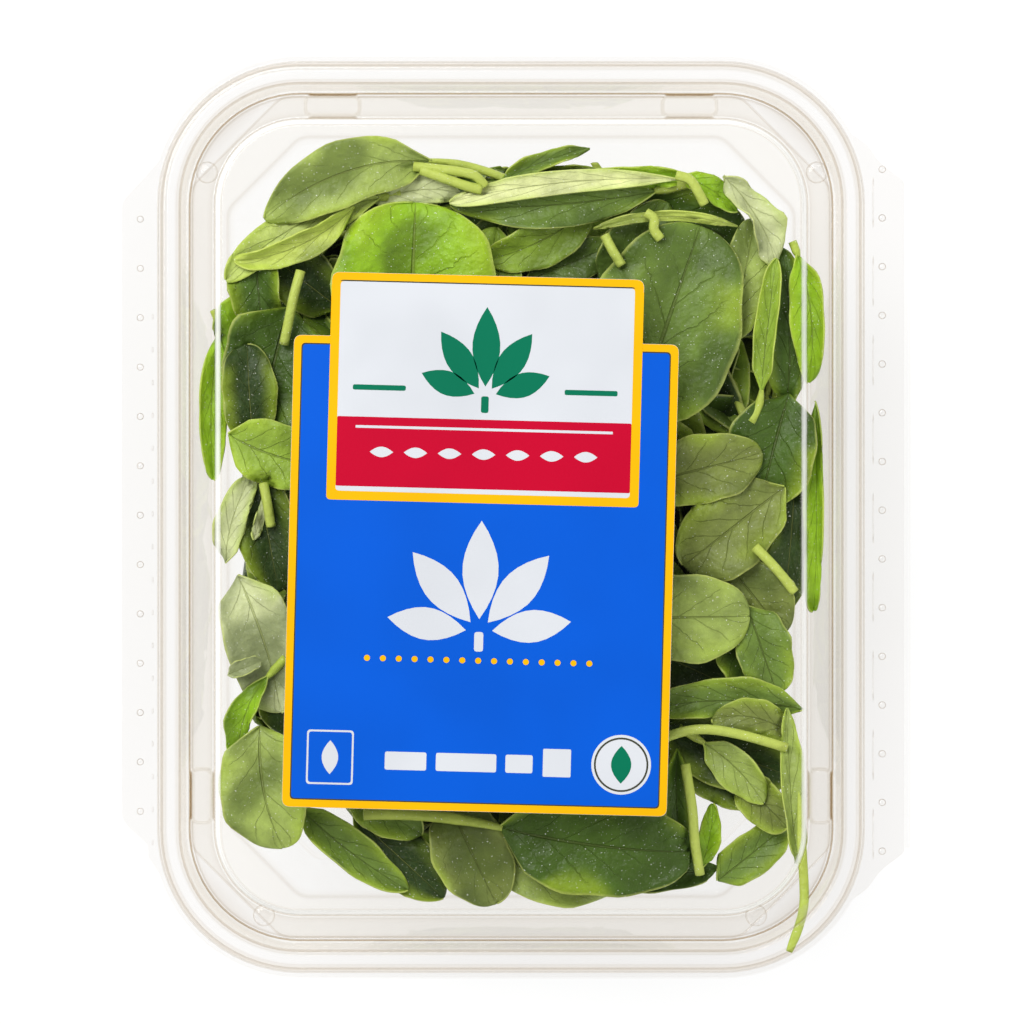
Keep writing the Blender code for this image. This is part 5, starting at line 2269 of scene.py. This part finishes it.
    def pressed(
        self, points: np.ndarray, half_width: float, half_length: float, cut: float, margin: float
    ) -> np.ndarray:
        """Press points inside an oblong with cut corners that narrows as the tray's wall does.

        Args:
            points: points in millimetres, one to a row.
            half_width: the oblong's half width at the tray's mouth.
            half_length: its half length there.
            cut: how much of each corner is cut off.
            margin: the depth inside the outline that takes up what stood past it.

        Returns:
            The pressed points.
        """
        x, y, z = points.T
        inset = self.tray.wall_inset(z)
        side_x, side_y = np.sign(x), np.sign(y)
        x, y = np.abs(x), np.abs(y)
        x = squeezed(x, half_width - inset, margin)
        y = squeezed(y, half_length - inset, margin)
        reach = half_width + half_length - cut - inset * math.sqrt(2)
        over = (x + y - squeezed(x + y, reach, margin)) / 2
        x, y = x - over, y - over
        floor = self.gauge.heap_low + 0.4
        z = floor + 4 - (squeezed(4 - (z - floor), 4.0, 3.0))
        return np.stack([x * side_x, y * side_y, z], axis=-1)

    def make_top_leaves(self, finish: Material, cover: Cover) -> Piece:
        """Make the listed leaves as one mesh, from the top down, each under those laid before it.

        Args:
            finish: the leaves' material.
            cover: the map that takes note of them.

        Returns:
            The piece.
        """
        cloth = LeafCloth()

        def settle(surface: np.ndarray) -> np.ndarray:
            """Keep a leaf inside the tray, under the lid and under the leaves above it.

            Args:
                surface: the leaf's middle surface, as a grid of points.

            Returns:
                The same grid where it settles.
            """
            half_width, half_length = self.tray.half_width - 0.6, self.tray.half_length - 2.0
            kept = self.pressed(surface.reshape(-1, 3), half_width, half_length, self.tray.cut, 2.0)
            kept[:, 2] = squeezed(kept[:, 2], self.heap_top, 2.5)
            kept = cover.under(kept).reshape(surface.shape)
            cover.lay(kept)
            return kept

        for corners in self.stems():
            path = curved(np.array(corners, dtype=float), 16)
            cover.lay(path[:, None, :] + np.array([[[-1.2, 0, -1.2], [1.2, 0, -1.2]]]))
            add_stalk(cloth, stalk(path, [self.stem_radius] * len(path), 9), Tone.SAGE)
        laid = enumerate([*self.lays(), *self.middle_lays()])
        for number, lay in sorted(laid, key=lambda item: -item[1].height):
            lay.blade(number).add_to(cloth, lay.matrix(), lay.tone, (number * 0.37) % 1, settle)
        return new_piece("top_leaves", cloth.mesh("top_leaves", self.gauge.world), finish)

    def make_caught_stem(self, finish: Material) -> Piece:
        """Make the long thin stem that the lid has caught between its ring and the tray's rim.

        Args:
            finish: its material.

        Returns:
            The piece.
        """
        path = np.array(
            [
                (76.8, -72.0, 60.0), (77.0, -78.0, 60.8), (77.2, -84.0, 61.6),
                (77.5, -91.0, 62.4), (77.9, -97.0, 63.0), (78.0, -102.7, 63.6), (77.2, -105.8, 66.0),
                (76.4, -107.6, 70.5), (75.6, -109.4, 73.6), (74.6, -111.8, 74.0), (73.4, -114.8, 74.0),
            ]
        )
        fine = curved(path, 34)
        radii = [0.5 + 0.75 * min(1, i / 8) * min(1, (len(fine) - i) / 6) ** 0.4 for i in range(len(fine))]
        points, faces = stalk(fine, radii, 10)
        middle = np.repeat(fine, 10, axis=0)
        points[:, 2] = middle[:, 2] + 0.5 * (points[:, 2] - middle[:, 2])
        cloth = LeafCloth()
        add_stalk(cloth, (points, faces), Tone.FRESH)
        return new_piece("caught_stem", cloth.mesh("caught_stem", self.gauge.world), finish)

    def build(self) -> list[Piece]:
        """Build the heap's pieces, riding on the tub.

        Returns:
            The bed, which stands for the CAD heap, the scattered leaves, the listed ones and the stem.
        """
        finish = LeafFinish().material()
        bed = self.make_bed()
        cover = Cover()
        top = self.make_top_leaves(finish, cover)
        pieces = [bed, self.make_loose_leaves(bed, finish, cover), top, self.make_caught_stem(finish)]
        for piece in pieces:
            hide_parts("spinach")
            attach(piece, "tub")
        return pieces


def squeezed(values: np.ndarray, limit: Any, margin: float) -> np.ndarray:
    """Squeeze values that reach past a limit into a margin below it, in their own order."""
    over = values - (limit - margin)
    return np.where(over > 0, limit - margin * np.exp(-np.maximum(over, 0) / margin), values)


# --- The hinge and the studio ---


@dataclass
class HingeFold:
    """The crease that joins tray and lid, whose CAD shape stays."""

    def build(self) -> list[Piece]:
        """Give the fold its clear sheet finish.

        Returns:
            The CAD node of the fold.
        """
        fold = frame["nodes"]["hinge_fold"]
        fold.data.materials.clear()
        fold.data.materials.append(ClearSheetFinish("clear_fold").material())
        return [fold]


@dataclass
class Studio:
    """Pale floor, soft light all round, and a camera straight above the pack, in metres."""

    gauge: Gauge
    middle: Point = (-0.00089, 0.00132)
    view_width: float = 0.271
    distance: float = 1.6
    focus_height: float = 0.070
    sensor: float = 36.0
    floor_half: float = 4.0
    floor_colour: Colour = (0.20, 0.20, 0.20, 1.0)
    floor_glow: float = 0.82
    sky_strength: float = 0.85
    lamp_size: float = 0.9
    key_place: Triple = (-0.55, 0.65, 1.25)
    key_power: float = 18.0
    fill_place: Triple = (0.75, -0.35, 1.1)
    fill_power: float = 3.0

    def make_floor(self) -> None:
        """Make the floor that the pack rests on."""
        mesh = bmesh.new()
        bmesh.ops.create_grid(mesh, x_segments=1, y_segments=1, size=self.floor_half)
        data = mesh_data(mesh, "floor")
        graph = MaterialGraph("floor_paper")
        shader = graph.principled(self.floor_colour, 0.9)
        shader.inputs["Specular IOR Level"].default_value = 0.0
        shader.inputs["Emission Color"].default_value = (1.0, 1.0, 1.0, 1.0)
        shader.inputs["Emission Strength"].default_value = self.floor_glow
        paper = graph.finish(shader.outputs["BSDF"])
        paper.cycles.emission_sampling = "NONE"
        new_piece("floor", data, paper)

    def make_sky(self) -> None:
        """Make the soft surroundings: white all round, and dim straight overhead, where the lid mirrors."""
        world = bpy.data.worlds.new("studio")
        world.use_nodes = True
        bpy.context.scene.world = world
        graph = NodeGraph(world.node_tree)
        direction = graph.node("ShaderNodeSeparateXYZ")
        graph.feed(direction.inputs[0], graph.node("ShaderNodeTexCoord").outputs["Generated"])
        dim = graph.fade(direction.outputs[2], 0.80, 0.95)
        background = graph.node("ShaderNodeBackground")
        background.inputs["Color"].default_value = (1.0, 1.0, 1.0, 1.0)
        share = graph.math("MAXIMUM", dim, 0.06)
        graph.feed(background.inputs["Strength"], graph.math("MULTIPLY", share, self.sky_strength))
        output = graph.node("ShaderNodeOutputWorld")
        graph.feed(output.inputs["Surface"], background.outputs["Background"])

    def make_lamp(self, name: str, place: Sequence[float], size: float, power: float) -> None:
        """Make a square soft lamp that points at the pack.

        Args:
            name: the lamp's name.
            place: where it hangs, in metres.
            size: the side of its square.
            power: its power in watts.
        """
        lamp = bpy.data.lights.new(name, "AREA")
        lamp.size = size
        lamp.energy = power
        holder = bpy.data.objects.new(name, lamp)
        holder.location = place
        holder.rotation_euler = (-Vector(place)).to_track_quat("-Z", "Y").to_euler()
        bpy.context.scene.collection.objects.link(holder)

    def make_camera(self) -> None:
        """Make the camera, straight above the pack with +y up in the picture."""
        lens = bpy.data.cameras.new("camera")
        lens.sensor_width = self.sensor
        lens.lens = self.sensor * self.distance / self.view_width
        lens.dof.use_dof = False
        camera = bpy.data.objects.new("camera", lens)
        camera.location = (*self.middle, self.focus_height + self.distance)
        camera.rotation_euler = Euler((0, 0, 0))
        bpy.context.scene.collection.objects.link(camera)
        bpy.context.scene.camera = camera

    def build(self) -> None:
        """Set up floor, light and camera."""
        self.make_floor()
        self.make_sky()
        self.make_lamp("key_lamp", self.key_place, self.lamp_size, self.key_power)
        self.make_lamp("fill_lamp", self.fill_place, self.lamp_size, self.fill_power)
        self.make_camera()
        scene = bpy.context.scene
        scene.view_settings.view_transform = "Standard"
        scene.cycles.transparent_max_bounces = 32
        scene.cycles.max_bounces = 5
        scene.cycles.diffuse_bounces = 2
        scene.cycles.glossy_bounces = 2
        scene.cycles.caustics_reflective = False


def main() -> None:
    """Build each sub-assembly in order and report its pieces."""
    logging.basicConfig(level=logging.INFO, format="%(name)s: %(message)s")
    gauge = Gauge.of_frame()
    Studio(gauge).build()
    tray = Tray(gauge)
    for assembly in (tray, HingeFold(), Heap(gauge, tray), Lid(gauge), Label(gauge)):
        for piece in assembly.build():
            LOG.info("%s: %s, %d faces", type(assembly).__name__, piece.name, len(piece.data.polygons))


if __name__ == "__main__":
    main()
